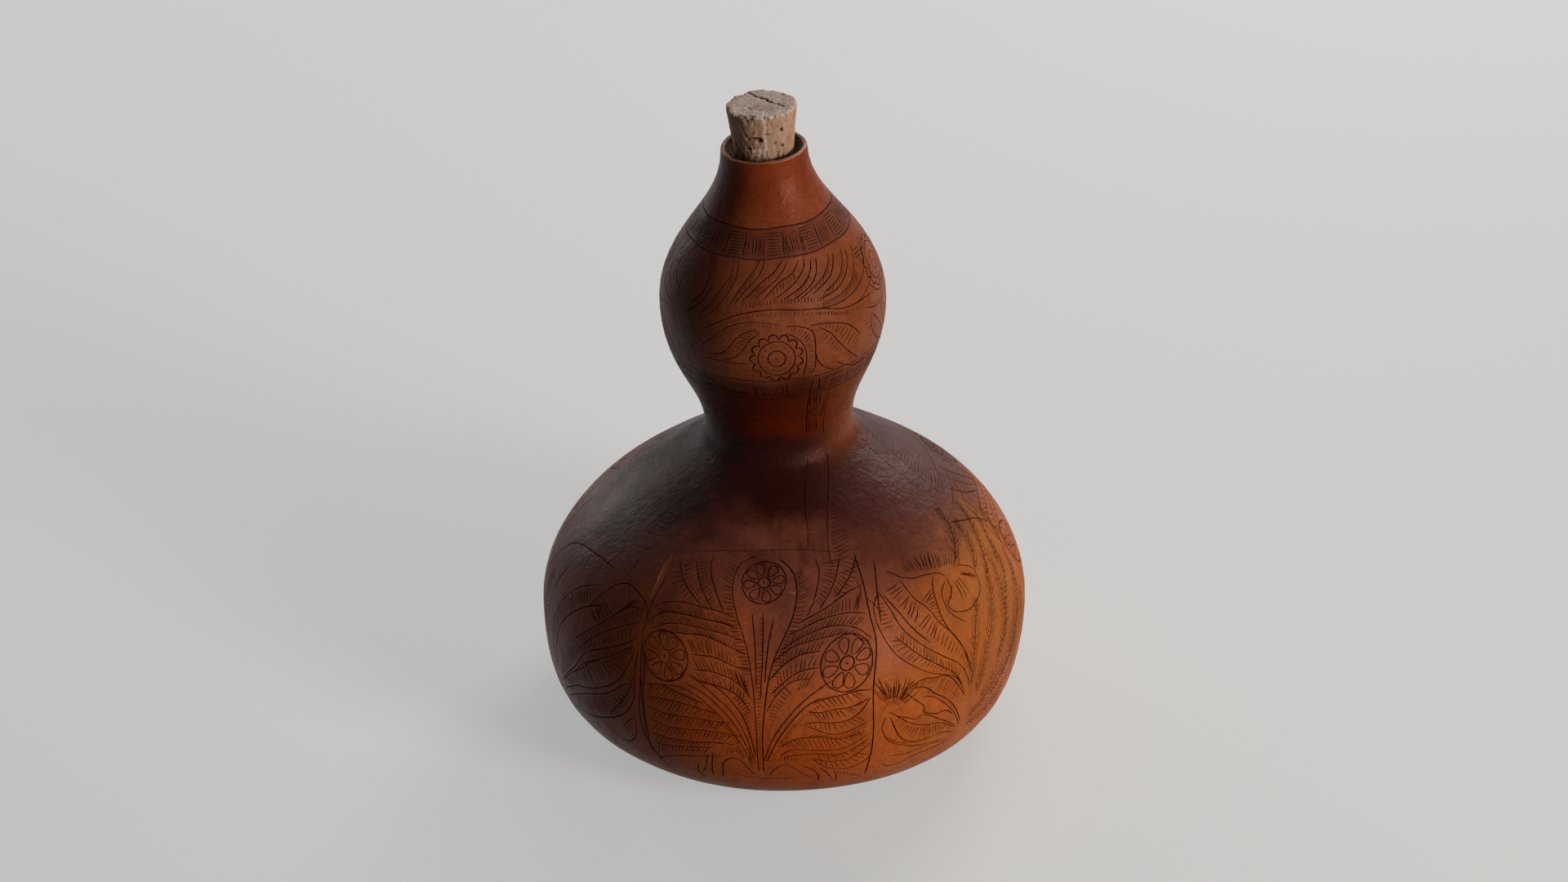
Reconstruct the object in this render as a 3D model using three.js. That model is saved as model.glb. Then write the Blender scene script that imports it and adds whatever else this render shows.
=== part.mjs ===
// Calabash flask: a double-bodied bottle gourd, dried, emptied through its stem end and stopped with a tapered cork.
// Millimetres, +Z up. The origin is the centre of the worn flat that the flask stands on, and its front faces -Y.
import * as THREE from 'three';
import { mergeVertices } from 'three/addons/utils/BufferGeometryUtils.js';

// Radii of the gourd's outside, from the ground up
const footRadius = 34;
const bellyRadius = 82;
const waistRadius = 24.5;
const bulbRadius = 37.1;

// Heights between those places
const bellyHeight = 42;
const shoulderHeight = 66;
const bulbRise = 46.5;
const neckHeight = 55;

// How full each stretch of the outline swells, as the reach of its curve handles along the stretch
const undersideSlope = THREE.MathUtils.degToRad(23);
const undersideReach = 0.55;
const hipReach = 1.17;
const shoulderReach = 0.57;
const waistReach = 0.13;
const bulbLowerReach = 0.42;
const bulbBaseReach = 0.48;
const bulbUpperReach = 0.46;
const neckReach = 0.4;

// The dried rind and the floor inside the foot
const bellyWall = 4.6;
const mouthWall = 3.6;
const floorThickness = 5.5;

// Tapered cork
const corkTopRadius = 11.4;
const corkBottomRadius = 8;
const corkLength = 30;
const corkProud = 14;
const corkEdge = 0.7;

// The scraped mouth: a thin lip, a funnel down to the land that grips the cork, then the hollow
const mouthGap = 2.3;
const lipWidth = 1.7;
const lipRounding = 0.5;
const seatDepth = 5;
const seatLength = 4;
const boreOpening = 5;
const corkClearance = 0.3;

// How the gourd grew: the stem end leans to -X, and the bodies are a little out of round
const mouthTilt = THREE.MathUtils.degToRad(2.9);
const leanPower = 1.4;
const roundnessError = 0.006;
const ovalTurn = 0.6;
const lobeShare = 0.6;
const lobeTurn = -1.1;
const lobeTwist = 3;

// Mesh fineness
const outsideSteps = 10;
const insideSteps = 7;
const gourdSides = 48;
const corkSides = 36;
const mergeDistance = 0.0001;

const waistHeight = bellyHeight + shoulderHeight;
const bulbHeight = waistHeight + bulbRise;
const rimHeight = bulbHeight + neckHeight;
const corkBase = rimHeight + corkProud - corkLength;
const boreDepth = seatDepth + seatLength + boreOpening;
const mouthRadius = corkRadiusAt(rimHeight) + mouthGap + lipWidth;

// Radius of the cork's side at a height along the flask's axis
function corkRadiusAt(height) {
  const share = (height - corkBase) / corkLength;
  return THREE.MathUtils.lerp(corkBottomRadius, corkTopRadius, share);
}

// The outside of the gourd from the foot's edge to the lip, as radius and height
function gourdOutline() {
  const outline = new THREE.Path();
  const undersideLength = undersideReach * (bellyRadius - footRadius);
  outline.moveTo(footRadius, 0);
  outline.bezierCurveTo(
    footRadius + undersideLength * Math.cos(undersideSlope), undersideLength * Math.sin(undersideSlope),
    bellyRadius, bellyHeight * (1 - hipReach),
    bellyRadius, bellyHeight);
  outline.bezierCurveTo(
    bellyRadius, bellyHeight + shoulderReach * shoulderHeight,
    waistRadius, waistHeight - waistReach * shoulderHeight,
    waistRadius, waistHeight);
  outline.bezierCurveTo(
    waistRadius, waistHeight + bulbLowerReach * bulbRise,
    bulbRadius, bulbHeight - bulbBaseReach * bulbRise,
    bulbRadius, bulbHeight);
  outline.bezierCurveTo(
    bulbRadius, bulbHeight + bulbUpperReach * neckHeight,
    mouthRadius, rimHeight - neckReach * neckHeight,
    mouthRadius, rimHeight);
  return outline;
}

// Points along each stretch of the outline, closer together where it bends more, moved in by the wall where asked
function outlinePoints(steps, wallAt) {
  const points = [];
  for (const stretch of gourdOutline().curves) {
    for (let step = 0; step < steps; step += 1) {
      const point = stretch.getPoint(step / steps);
      const along = stretch.getTangent(step / steps);
      const wall = wallAt(point.y);
      points.push(new THREE.Vector2(point.x - wall * along.y, point.y + wall * along.x));
    }
  }
  return points;
}

// The hollow from the neck down to the floor, one wall thickness inside the outline
function hollowPoints() {
  const wallAt = (height) => THREE.MathUtils.lerp(bellyWall, mouthWall, height / rimHeight);
  const belowBore = (point) => point.y < rimHeight - boreDepth;
  const points = outlinePoints(insideSteps, wallAt).filter(belowBore).reverse();
  return [...points, new THREE.Vector2(0, floorThickness)];
}

// The lip and the bore, from the lip's outer edge down to the end of the land
function mouthPoints() {
  const innerRadius = mouthRadius - lipWidth;
  const seatTop = rimHeight - seatDepth;
  const seatBottom = seatTop - seatLength;
  return [
    new THREE.Vector2(mouthRadius, rimHeight - lipRounding),
    new THREE.Vector2(mouthRadius - lipRounding, rimHeight),
    new THREE.Vector2(innerRadius, rimHeight - lipRounding / 2),
    new THREE.Vector2((innerRadius + corkRadiusAt(seatTop)) / 2 + corkClearance, rimHeight - seatDepth / 2),
    new THREE.Vector2(corkRadiusAt(seatTop) + corkClearance, seatTop),
    new THREE.Vector2(corkRadiusAt(seatBottom) + corkClearance, seatBottom),
  ];
}

// Turns an outline into a closed body about Z, with shared vertices
function turned(points, sides) {
  const geometry = new THREE.LatheGeometry(points, sides);
  geometry.rotateX(Math.PI / 2);
  geometry.deleteAttribute('normal');
  geometry.deleteAttribute('uv');
  return mergeVertices(geometry, mergeDistance);
}

// Sideways place and slope of the flask's axis: upright to the belly, bending above it, straight through the mouth
function axisAt(height) {
  const bendEnd = rimHeight - boreDepth - corkLength / 2;
  const bendLength = bendEnd - bellyHeight;
  const share = THREE.MathUtils.clamp((height - bellyHeight) / bendLength, 0, 1);
  const slope = Math.tan(mouthTilt) * share ** (leanPower - 1);
  const bentPart = Math.tan(mouthTilt) * bendLength * share ** leanPower / leanPower;
  const straightPart = Math.tan(mouthTilt) * Math.max(0, height - bendEnd);
  return { offset: bentPart + straightPart, angle: Math.atan(slope) };
}

// Slow swells around the bodies, gone at the foot and at the mouth
function roundnessAt(height, turn) {
  const share = THREE.MathUtils.clamp(height / (rimHeight - boreDepth), 0, 1);
  const oval = Math.sin(2 * turn + ovalTurn);
  const lobes = lobeShare * Math.sin(3 * turn + lobeTurn + lobeTwist * share);
  return 1 + roundnessError * Math.sin(Math.PI * share) * (oval + lobes);
}

// Moves a straight, round body onto the leaning axis
function grownOnto(geometry) {
  const place = geometry.attributes.position;
  for (let index = 0; index < place.count; index += 1) {
    const x = place.getX(index);
    const y = place.getY(index);
    const height = place.getZ(index);
    const axis = axisAt(height);
    const roundness = roundnessAt(height, Math.atan2(y, x));
    place.setX(index, x * roundness * Math.cos(axis.angle) - axis.offset);
    place.setY(index, y * roundness);
    place.setZ(index, height + x * roundness * Math.sin(axis.angle));
  }
  geometry.computeVertexNormals();
  return geometry;
}

function gourdShell() {
  const foot = new THREE.Vector2(0, 0);
  const outside = outlinePoints(outsideSteps, () => 0);
  const points = [foot, ...outside, ...mouthPoints(), ...hollowPoints()];
  const rind = new THREE.MeshStandardMaterial({ color: 0x8a3f1a, roughness: 0.32, metalness: 0 });
  const shell = new THREE.Mesh(grownOnto(turned(points, gourdSides)), rind);
  shell.name = 'gourd_shell';
  return shell;
}

function corkStopper() {
  const points = [
    new THREE.Vector2(0, 0),
    new THREE.Vector2(corkBottomRadius - corkEdge, 0),
    new THREE.Vector2(corkRadiusAt(corkBase + corkEdge), corkEdge),
    new THREE.Vector2(corkRadiusAt(corkBase + corkLength - corkEdge), corkLength - corkEdge),
    new THREE.Vector2(corkTopRadius - corkEdge, corkLength),
    new THREE.Vector2(0, corkLength),
  ];
  const bark = new THREE.MeshStandardMaterial({ color: 0xa6836c, roughness: 0.9, metalness: 0 });
  const cork = new THREE.Mesh(turned(points, corkSides), bark);
  const seat = axisAt(corkBase);
  cork.geometry.computeVertexNormals();
  cork.position.set(-seat.offset, 0, corkBase);
  cork.rotation.y = -seat.angle;
  cork.name = 'cork_stopper';
  return cork;
}

const flask = new THREE.Group();
flask.add(gourdShell());
flask.add(corkStopper());

export default flask;
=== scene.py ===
# Calabash flask: engraved gourd shell and tapered cork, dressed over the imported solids
import math
import random

import bpy
import numpy as np
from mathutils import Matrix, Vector, noise


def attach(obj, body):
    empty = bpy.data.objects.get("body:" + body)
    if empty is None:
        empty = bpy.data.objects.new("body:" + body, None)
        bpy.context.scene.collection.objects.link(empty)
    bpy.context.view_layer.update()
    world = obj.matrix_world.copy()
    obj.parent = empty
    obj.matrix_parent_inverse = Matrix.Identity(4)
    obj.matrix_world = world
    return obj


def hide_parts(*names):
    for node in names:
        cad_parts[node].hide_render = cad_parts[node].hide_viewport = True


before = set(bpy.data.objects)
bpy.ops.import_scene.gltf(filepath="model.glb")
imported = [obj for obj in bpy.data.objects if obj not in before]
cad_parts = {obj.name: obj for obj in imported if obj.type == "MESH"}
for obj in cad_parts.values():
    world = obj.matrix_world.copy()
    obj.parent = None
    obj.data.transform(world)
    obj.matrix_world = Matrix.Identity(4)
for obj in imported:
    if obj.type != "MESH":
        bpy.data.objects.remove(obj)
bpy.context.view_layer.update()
mm = 0.001  # the dictionaries below are in millimetres, and meshes in metres

# the gourd as it grew: same outline as the solid it stands for
gourd = {
    "footRadius": 34.0,
    "bellyRadius": 82.0,
    "waistRadius": 24.5,
    "bulbRadius": 37.1,
    "bellyHeight": 42.0,
    "shoulderHeight": 66.0,
    "bulbRise": 46.5,
    "neckHeight": 55.0,
    "undersideSlope": math.radians(23),
    "undersideReach": 0.55,  # each reach is the share of its stretch that a curve's handle takes
    "hipReach": 1.17,
    "shoulderReach": 0.57,
    "waistReach": 0.13,
    "bulbLowerReach": 0.42,
    "bulbBaseReach": 0.48,
    "bulbUpperReach": 0.46,
    "neckReach": 0.4,
    "bellyWall": 4.6,
    "mouthWall": 3.6,
    "floorThickness": 5.5,
    "mouthGap": 2.3,
    "lipWidth": 1.7,
    "seatDepth": 5.0,
    "seatLength": 4.0,
    "boreOpening": 5.0,
    "mouthTilt": math.radians(2.9),
    "leanPower": 1.4,
    "roundnessError": 0.006,
    "ovalTurn": 0.6,
    "lobeShare": 0.6,
    "lobeTurn": -1.1,
    "lobeTwist": 3.0,
    "dentDepth": 0.6,  # slow hollows in the rind, always inward
    "columns": 100,
    "rowSpacing": 4.3,
    "lipStart": 1.2,  # the skin's last row lies this far short of the lip
}

cork = {
    "topRadius": 11.4,
    "bottomRadius": 8.0,
    "length": 30.0,
    "proud": 14.0,
    "clearance": 0.3,
    "columns": 200,
    "rowHeight": 0.42,
    "edge": 0.7,
    "roughness": 0.14,  # of the side, always inward
    "pits": 130,
    "bigPits": 17,  # how many of them are large
    "seed": 5,
}

waistHeight = gourd["bellyHeight"] + gourd["shoulderHeight"]
bulbHeight = waistHeight + gourd["bulbRise"]
rimHeight = bulbHeight + gourd["neckHeight"]
corkBase = rimHeight + cork["proud"] - cork["length"]
boreDepth = gourd["seatDepth"] + gourd["seatLength"] + gourd["boreOpening"]


def corkRadiusAt(height):
    share = (height - corkBase) / cork["length"]
    return cork["bottomRadius"] + share * (cork["topRadius"] - cork["bottomRadius"])


mouthRadius = corkRadiusAt(rimHeight) + gourd["mouthGap"] + gourd["lipWidth"]


def travelAlong(path):
    # distance walked from the first point to each point
    return np.concatenate([[0], np.cumsum(np.linalg.norm(np.diff(path, axis=0), axis=1))])


def handleCurve(a, b, c, d, count):
    t = np.linspace(0, 1, count)[:, None]
    a, b, c, d = (np.array(p, float) for p in (a, b, c, d))
    return (1 - t) ** 3 * a + 3 * (1 - t) ** 2 * t * b + 3 * (1 - t) * t**2 * c + t**3 * d


def gourdOutline():
    # radius and height from the foot's edge to the lip
    g = gourd
    foot, belly, waist, bulb = g["footRadius"], g["bellyRadius"], g["waistRadius"], g["bulbRadius"]
    under = g["undersideReach"] * (belly - foot)
    slope = g["undersideSlope"]
    stretches = [
        ((foot, 0), (foot + under * math.cos(slope), under * math.sin(slope)),
         (belly, g["bellyHeight"] * (1 - g["hipReach"])), (belly, g["bellyHeight"])),
        ((belly, g["bellyHeight"]), (belly, g["bellyHeight"] + g["shoulderReach"] * g["shoulderHeight"]),
         (waist, waistHeight - g["waistReach"] * g["shoulderHeight"]), (waist, waistHeight)),
        ((waist, waistHeight), (waist, waistHeight + g["bulbLowerReach"] * g["bulbRise"]),
         (bulb, bulbHeight - g["bulbBaseReach"] * g["bulbRise"]), (bulb, bulbHeight)),
        ((bulb, bulbHeight), (bulb, bulbHeight + g["bulbUpperReach"] * g["neckHeight"]),
         (mouthRadius, rimHeight - g["neckReach"] * g["neckHeight"]), (mouthRadius, rimHeight)),
    ]
    points = [handleCurve(*stretch, 300)[:-1] for stretch in stretches]
    return np.concatenate(points + [np.array([[mouthRadius, rimHeight]])])


outline = gourdOutline()
outlineAlong = travelAlong(outline)
fullLength = outlineAlong[-1]


def radiusAlong(along):
    return np.interp(along, outlineAlong, outline[:, 0])


def heightAlong(along):
    return np.interp(along, outlineAlong, outline[:, 1])


def axisAt(height):
    # sideways offset and slope of the flask's own axis
    bendEnd = rimHeight - boreDepth - cork["length"] / 2
    bendLength = bendEnd - gourd["bellyHeight"]
    lean = math.tan(gourd["mouthTilt"])
    share = np.clip((height - gourd["bellyHeight"]) / bendLength, 0, 1)
    slope = lean * share ** (gourd["leanPower"] - 1)
    bent = lean * bendLength * share ** gourd["leanPower"] / gourd["leanPower"]
    return bent + lean * np.maximum(0, height - bendEnd), np.arctan(slope)


def roundnessAt(height, turn):
    share = np.clip(height / (rimHeight - boreDepth), 0, 1)
    oval = np.sin(2 * turn + gourd["ovalTurn"])
    lobes = gourd["lobeShare"] * np.sin(3 * turn + gourd["lobeTurn"] + gourd["lobeTwist"] * share)
    return 1 + gourd["roundnessError"] * np.sin(np.pi * share) * (oval + lobes)


def grown(radius, height, turn):
    # a point of the straight, round body moved onto the leaning axis; turn is 0 at the front and grows to +X
    x = radius * np.sin(turn)
    y = -radius * np.cos(turn)
    offset, angle = axisAt(height)
    roundness = roundnessAt(height, np.arctan2(y, x))
    return np.stack([x * roundness * np.cos(angle) - offset, y * roundness,
                     height + x * roundness * np.sin(angle)], -1)


def dentAt(turn, along):
    # slow hollows, 0 to 1 deep, gone at the foot and at the lip
    waves = (np.sin(3 * turn + along / 19) * np.sin(along / 13 + 1.3)
             + np.sin(5 * turn - along / 31 + 2) * np.sin(along / 9)
             + np.sin(8 * turn + along / 12) * np.sin(along / 21 + 0.4) * 0.6)
    fade = np.clip(along / 12, 0, 1) * np.clip((fullLength - along) / 25, 0, 1)
    return fade * (0.5 - 0.19 * waves)


def normalOf(surface, turn, along, step):
    # square to a surface, found from points a step away on four sides
    low, high = np.clip(along - step, 0, fullLength), np.clip(along + step, 0, fullLength)
    width = step / np.maximum(radiusAlong(along), 1)
    across = surface(turn + width, along) - surface(turn - width, along)
    normal = np.cross(across, surface(turn, high) - surface(turn, low))
    return normal / np.linalg.norm(normal, axis=-1, keepdims=True)


def evenSkin(turn, along):
    # the outside of the rind without its hollows
    return grown(radiusAlong(along), heightAlong(along), turn)


def skin(turn, along):
    depth = gourd["dentDepth"] * dentAt(turn, along)
    return evenSkin(turn, along) - normalOf(evenSkin, turn, along, 0.2) * depth[..., None]


def skinNormal(turn, along):
    return normalOf(skin, turn, along, 0.3)


shellRows = np.linspace(0, fullLength - gourd["lipStart"], int(fullLength / gourd["rowSpacing"]))
shellTurns = np.linspace(0, 2 * math.pi, gourd["columns"], endpoint=False)
shellGrid = skin(*np.meshgrid(shellTurns, shellRows))


def onFacets(turn, along):
    # point on the flat facets of the shell's mesh, which lie a little off the true skin
    across = turn / (2 * math.pi) * gourd["columns"]
    up = np.clip(along / shellRows[1], 0, len(shellRows) - 1.001)
    column, row = np.floor(across).astype(int), np.floor(up).astype(int)
    across, up = (across - column)[:, None], (up - row)[:, None]
    here, after = column % gourd["columns"], (column + 1) % gourd["columns"]
    low = shellGrid[row, here] * (1 - across) + shellGrid[row, after] * across
    high = shellGrid[row + 1, here] * (1 - across) + shellGrid[row + 1, after] * across
    return low * (1 - up) + high * up


def skinPlace(points):
    # turn and distance along the outline of points that lie on the skin
    height = points[:, 2].copy()
    for _ in range(4):
        offset, angle = axisAt(height)
        x = (points[:, 0] + offset) / np.cos(angle)
        height = points[:, 2] - x * np.sin(angle)
    turn = np.arctan2(x, -points[:, 1])
    return turn, np.interp(height, outline[:, 1], outlineAlong)


def newObject(name, points, faces, materials, faceMaterial=None):
    mesh = bpy.data.meshes.new(name)
    mesh.from_pydata([tuple(p) for p in np.asarray(points) * mm], [], faces)
    for material in materials:
        mesh.materials.append(material)
    if faceMaterial is not None:
        mesh.polygons.foreach_set("material_index", faceMaterial)
    mesh.update()
    item = bpy.data.objects.new(name, mesh)
    bpy.context.scene.collection.objects.link(item)
    return item


def ringFaces(rings, columns, start=0):
    faces = []
    for ring in range(rings - 1):
        low, high = start + ring * columns, start + (ring + 1) * columns
        for column in range(columns):
            after = (column + 1) % columns
            faces.append((low + column, low + after, high + after, high + column))
    return faces


def capFaces(centre, first, columns, downward):
    pairs = [(first + c, first + (c + 1) % columns) for c in range(columns)]
    return [(centre, b, a) if downward else (centre, a, b) for a, b in pairs]


# the engraving: what the burin does, in millimetres
engraving = {
    "lineWidth": 0.4,
    "lineDepth": 0.4,
    "hatchWidth": 0.42,
    "hatchDepth": 0.36,
    "spacing": 1.25,  # distance between hatch strokes
    "lean": 3.2,  # how far hatch strokes slant toward the tip of a leaf
    "wobble": 0.13,  # how far the hand strays
    "step": 3.6,  # distance between the points of a straight line
    "bend": 0.4,  # how much of a turn calls for a point more
    "lift": 0.26,  # how far the cutting bars stand out of the rind
    "shortest": 0.9,  # no hatch stroke is shorter
    "seed": 11,
}
hand = random.Random(engraving["seed"])
strokes = []  # every cut: turn, distance along the outline, width, depth, closed
field = {"meridian": 0.0, "side": 1, "weight": 1.0, "sparse": 1.0}  # where and how the flat drawing is cut


def drawAt(degrees, mirrored=False, weight=1.0, sparse=1.0):
    # from here on x runs to the right of this meridian and y along the outline
    field["meridian"] = math.radians(degrees)
    field["side"] = -1 if mirrored else 1
    field["weight"] = weight
    field["sparse"] = sparse


def curveThrough(points):
    # smooth curve through given points, at even steps
    p = np.array(points, float)
    ends = np.concatenate([[2 * p[0] - p[1]], p, [2 * p[-1] - p[-2]]])
    t = np.linspace(0, 1, 12, endpoint=False)[:, None]
    pieces = []
    for a, b, c, d in zip(ends, ends[1:], ends[2:], ends[3:]):
        pieces.append(0.5 * (2 * b + (c - a) * t + (2 * a - 5 * b + 4 * c - d) * t**2
                             + (3 * b - a - 3 * c + d) * t**3))
    fine = np.concatenate(pieces + [p[-1:]])
    travel = travelAlong(fine)
    way = np.unwrap(np.arctan2(np.diff(fine[:, 1]), np.diff(fine[:, 0])))
    turned = np.abs(np.diff(way)).sum()
    coarse = max(1.0, field["sparse"] * 0.7)
    count = max(3, int(round((travel[-1] / engraving["step"] + turned / engraving["bend"]) / coarse)) + 1)
    even = np.linspace(0, travel[-1], count)
    return np.stack([np.interp(even, travel, fine[:, 0]), np.interp(even, travel, fine[:, 1])], 1)


def lengthOf(path):
    return np.linalg.norm(np.diff(path, axis=0), axis=1).sum()


def pointOn(path, share):
    place = min(max(share, 0), 1) * (len(path) - 1)
    steps = np.arange(len(path))
    return np.array([np.interp(place, steps, path[:, 0]), np.interp(place, steps, path[:, 1])])


def nearestShare(path, place):
    # how far along the path its nearest point to a place is
    shares = np.linspace(0, 1, 80)
    steps = np.arange(len(path))
    places = shares * (len(path) - 1)
    across = np.interp(places, steps, path[:, 0]) - place[0]
    up = np.interp(places, steps, path[:, 1]) - place[1]
    return shares[np.argmin(np.hypot(across, up))]


def cut(flat, width, depth, closed=False):
    flat = np.asarray(flat, float)
    turn = field["meridian"] + field["side"] * flat[:, 0] / radiusAlong(flat[:, 1])
    pressure = field["weight"] * hand.uniform(0.8, 1.15)
    strokes.append((turn, flat[:, 1], width * pressure, depth * pressure, closed))


def shaky(path):
    phase, pitch = hand.uniform(0, 6.3), hand.uniform(0.5, 1.0)
    steps = np.arange(len(path)) * pitch + phase
    return path + engraving["wobble"] * np.stack([np.sin(steps), np.cos(1.3 * steps)], 1)


def line(*points):
    path = curveThrough(points)
    cut(shaky(path), engraving["lineWidth"], engraving["lineDepth"])
    return path


def lines(*paths):
    return [line(*points) for points in paths]


def loop(flat, bold=1.15):
    cut(flat, engraving["lineWidth"] * bold, engraving["lineDepth"] * bold, closed=True)


def tick(start, end, bold=1.0):
    # one hatch stroke, bowed a little
    start, end = np.asarray(start, float), np.asarray(end, float)
    length = np.linalg.norm(end - start)
    if length < engraving["shortest"]:
        return
    count = max(2, int(round(length / 4.0)) + 1)
    t = np.linspace(0, 1, count)[:, None]
    bow = hand.uniform(-0.05, 0.05) * np.array([start[1] - end[1], end[0] - start[0]])
    cut(start + (end - start) * t + bow * 4 * t * (1 - t), engraving["hatchWidth"] * bold,
        engraving["hatchDepth"] * bold)


def hatch(first, second, reach=(0.04, 0.85), lean=None, spacing=None, ends=(0.04, 0.96)):
    # strokes that leave the first line and lean along it toward the second; both are lines drawn or points
    first, second = (curveThrough(path) if isinstance(path, list) else path for path in (first, second))
    lean = engraving["lean"] if lean is None else lean
    spacing = (spacing or engraving["spacing"]) * field["sparse"]
    count = int(lengthOf(first) * (ends[1] - ends[0]) / spacing)
    for index in range(count):
        start = pointOn(first, ends[0] + (ends[1] - ends[0]) * (index + hand.uniform(0.35, 0.65)) / count)
        near = nearestShare(second, start)
        gap = np.linalg.norm(pointOn(second, near) - start)
        aim = near + math.copysign(min(abs(lean), 1.1 * gap), lean) / lengthOf(second)
        if 0 < near < 1 and 0 <= aim <= 1:
            across = pointOn(second, aim) - start
            far = reach[1] + hand.uniform(-0.08, 0.08)
            lightly = min(1.0, 0.7 + gap / 9)  # short strokes are light
            tick(start + across * reach[0], start + across * far, lightly)


def hatchPairs(edges, pairs, *settings):
    for first, second in pairs:
        hatch(edges[first], edges[second], *settings)


def feather(points, width=3.0, lean=3.6, spacing=1.7):
    # a rib with barbs that lean toward its tip
    rib = line(*points)
    count = int(lengthOf(rib) / (spacing * field["sparse"]))
    for side in (-1, 1):
        for index in range(count):
            share = (index + hand.uniform(0.3, 0.7)) / count
            way = pointOn(rib, share + 0.03) - pointOn(rib, share - 0.03)
            way /= np.linalg.norm(way)
            swell = math.sin(math.pi * (0.15 + 0.75 * share)) ** 0.6
            out = side * np.array([-way[1], way[0]]) * width * swell
            start = pointOn(rib, share)
            tick(start + out * 0.12, start + out + way * lean * hand.uniform(0.8, 1.1))


def circle(x, y, radius):
    count = max(10, int(radius * 6.3 / 2.2))
    angles = np.linspace(0, 2 * math.pi, count, endpoint=False)
    uneven = radius * (1 + 0.025 * np.sin(2 * angles + hand.uniform(0, 6.3)))
    loop(np.stack([x + uneven * np.cos(angles), y + uneven * np.sin(angles)], 1))


def dot(x, y, size=0.75):
    cut([(x - size / 2, y), (x, y), (x + size / 2, y)], size, engraving["lineDepth"])


def petalFlower(x, y, radius, petals=8):
    circle(x, y, radius)
    circle(x, y, radius * 0.27)
    dot(x, y)
    t = np.linspace(0, 2 * math.pi, 9, endpoint=False)
    outward = radius * (0.63 - 0.3 * np.cos(t))
    across = radius * 0.235 * np.sin(t) * (0.8 - 0.4 * np.cos(t))
    for petal in range(petals):
        angle = 2 * math.pi * (petal + 0.3 + hand.uniform(-0.1, 0.1)) / petals
        cos, sin = math.cos(angle), math.sin(angle)
        loop(np.stack([x + outward * cos - across * sin, y + outward * sin + across * cos], 1), 1.0)


def scallopedFlower(x, y, radius=8.7, scallops=13):
    angles = np.linspace(0, 2 * math.pi, scallops * 6, endpoint=False)
    edge = radius * (0.8 + 0.2 * np.abs(np.sin(angles * scallops / 2)) ** 0.7)
    loop(np.stack([x + edge * np.cos(angles), y + edge * np.sin(angles)], 1), 1.35)
    circle(x, y, radius * 0.71)
    circle(x, y, radius * 0.34)
    dot(x, y)
    for angle in np.linspace(0, 2 * math.pi, scallops, endpoint=False):
        dot(x + radius * 0.53 * math.cos(angle), y + radius * 0.53 * math.sin(angle), 0.6)


def tickRow(points, direction, length=1.8, spacing=1.2, ends=(0.0, 1.0)):
    path = curveThrough(points)
    count = max(2, int(lengthOf(path) * (ends[1] - ends[0]) / (spacing * field["sparse"])))
    for index in range(count):
        start = pointOn(path, ends[0] + (ends[1] - ends[0]) * index / count)
        tick(start, start + np.array(direction) * length * hand.uniform(0.8, 1.2))


def tassel(x, y, inner, outer, first, last, count):
    for index in range(count):
        angle = math.radians(first + (last - first) * index / (count - 1) + hand.uniform(-4, 4))
        way = np.array([math.cos(angle), math.sin(angle)])
        reach = hand.uniform(0.65, 1.0) * outer
        tick(np.array([x, y]) + way * inner, np.array([x, y]) + way * reach, 0.75)


def flowerFrame():
    # the panel's edges, and the three flowers in it
    line((35, 49), (36.5, 55), (38, 65), (38.3, 85), (39, 98), (37, 107), (34, 118), (30, 130))
    line((38, 125), (39.5, 113), (40.5, 104))
    line((-31, 49), (-36, 55), (-39, 62), (-40.5, 75), (-41, 90), (-41, 100), (-38, 110), (-33, 120))
    field["weight"] = 0.6
    line((-24, 130), (-12, 133), (0, 134), (12, 134), (25, 131), (33, 130))
    field["weight"] = 1.0
    petalFlower(-32, 94, 8.3)
    petalFlower(29, 94.5, 9)
    petalFlower(0.5, 123, 7.2)


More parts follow.
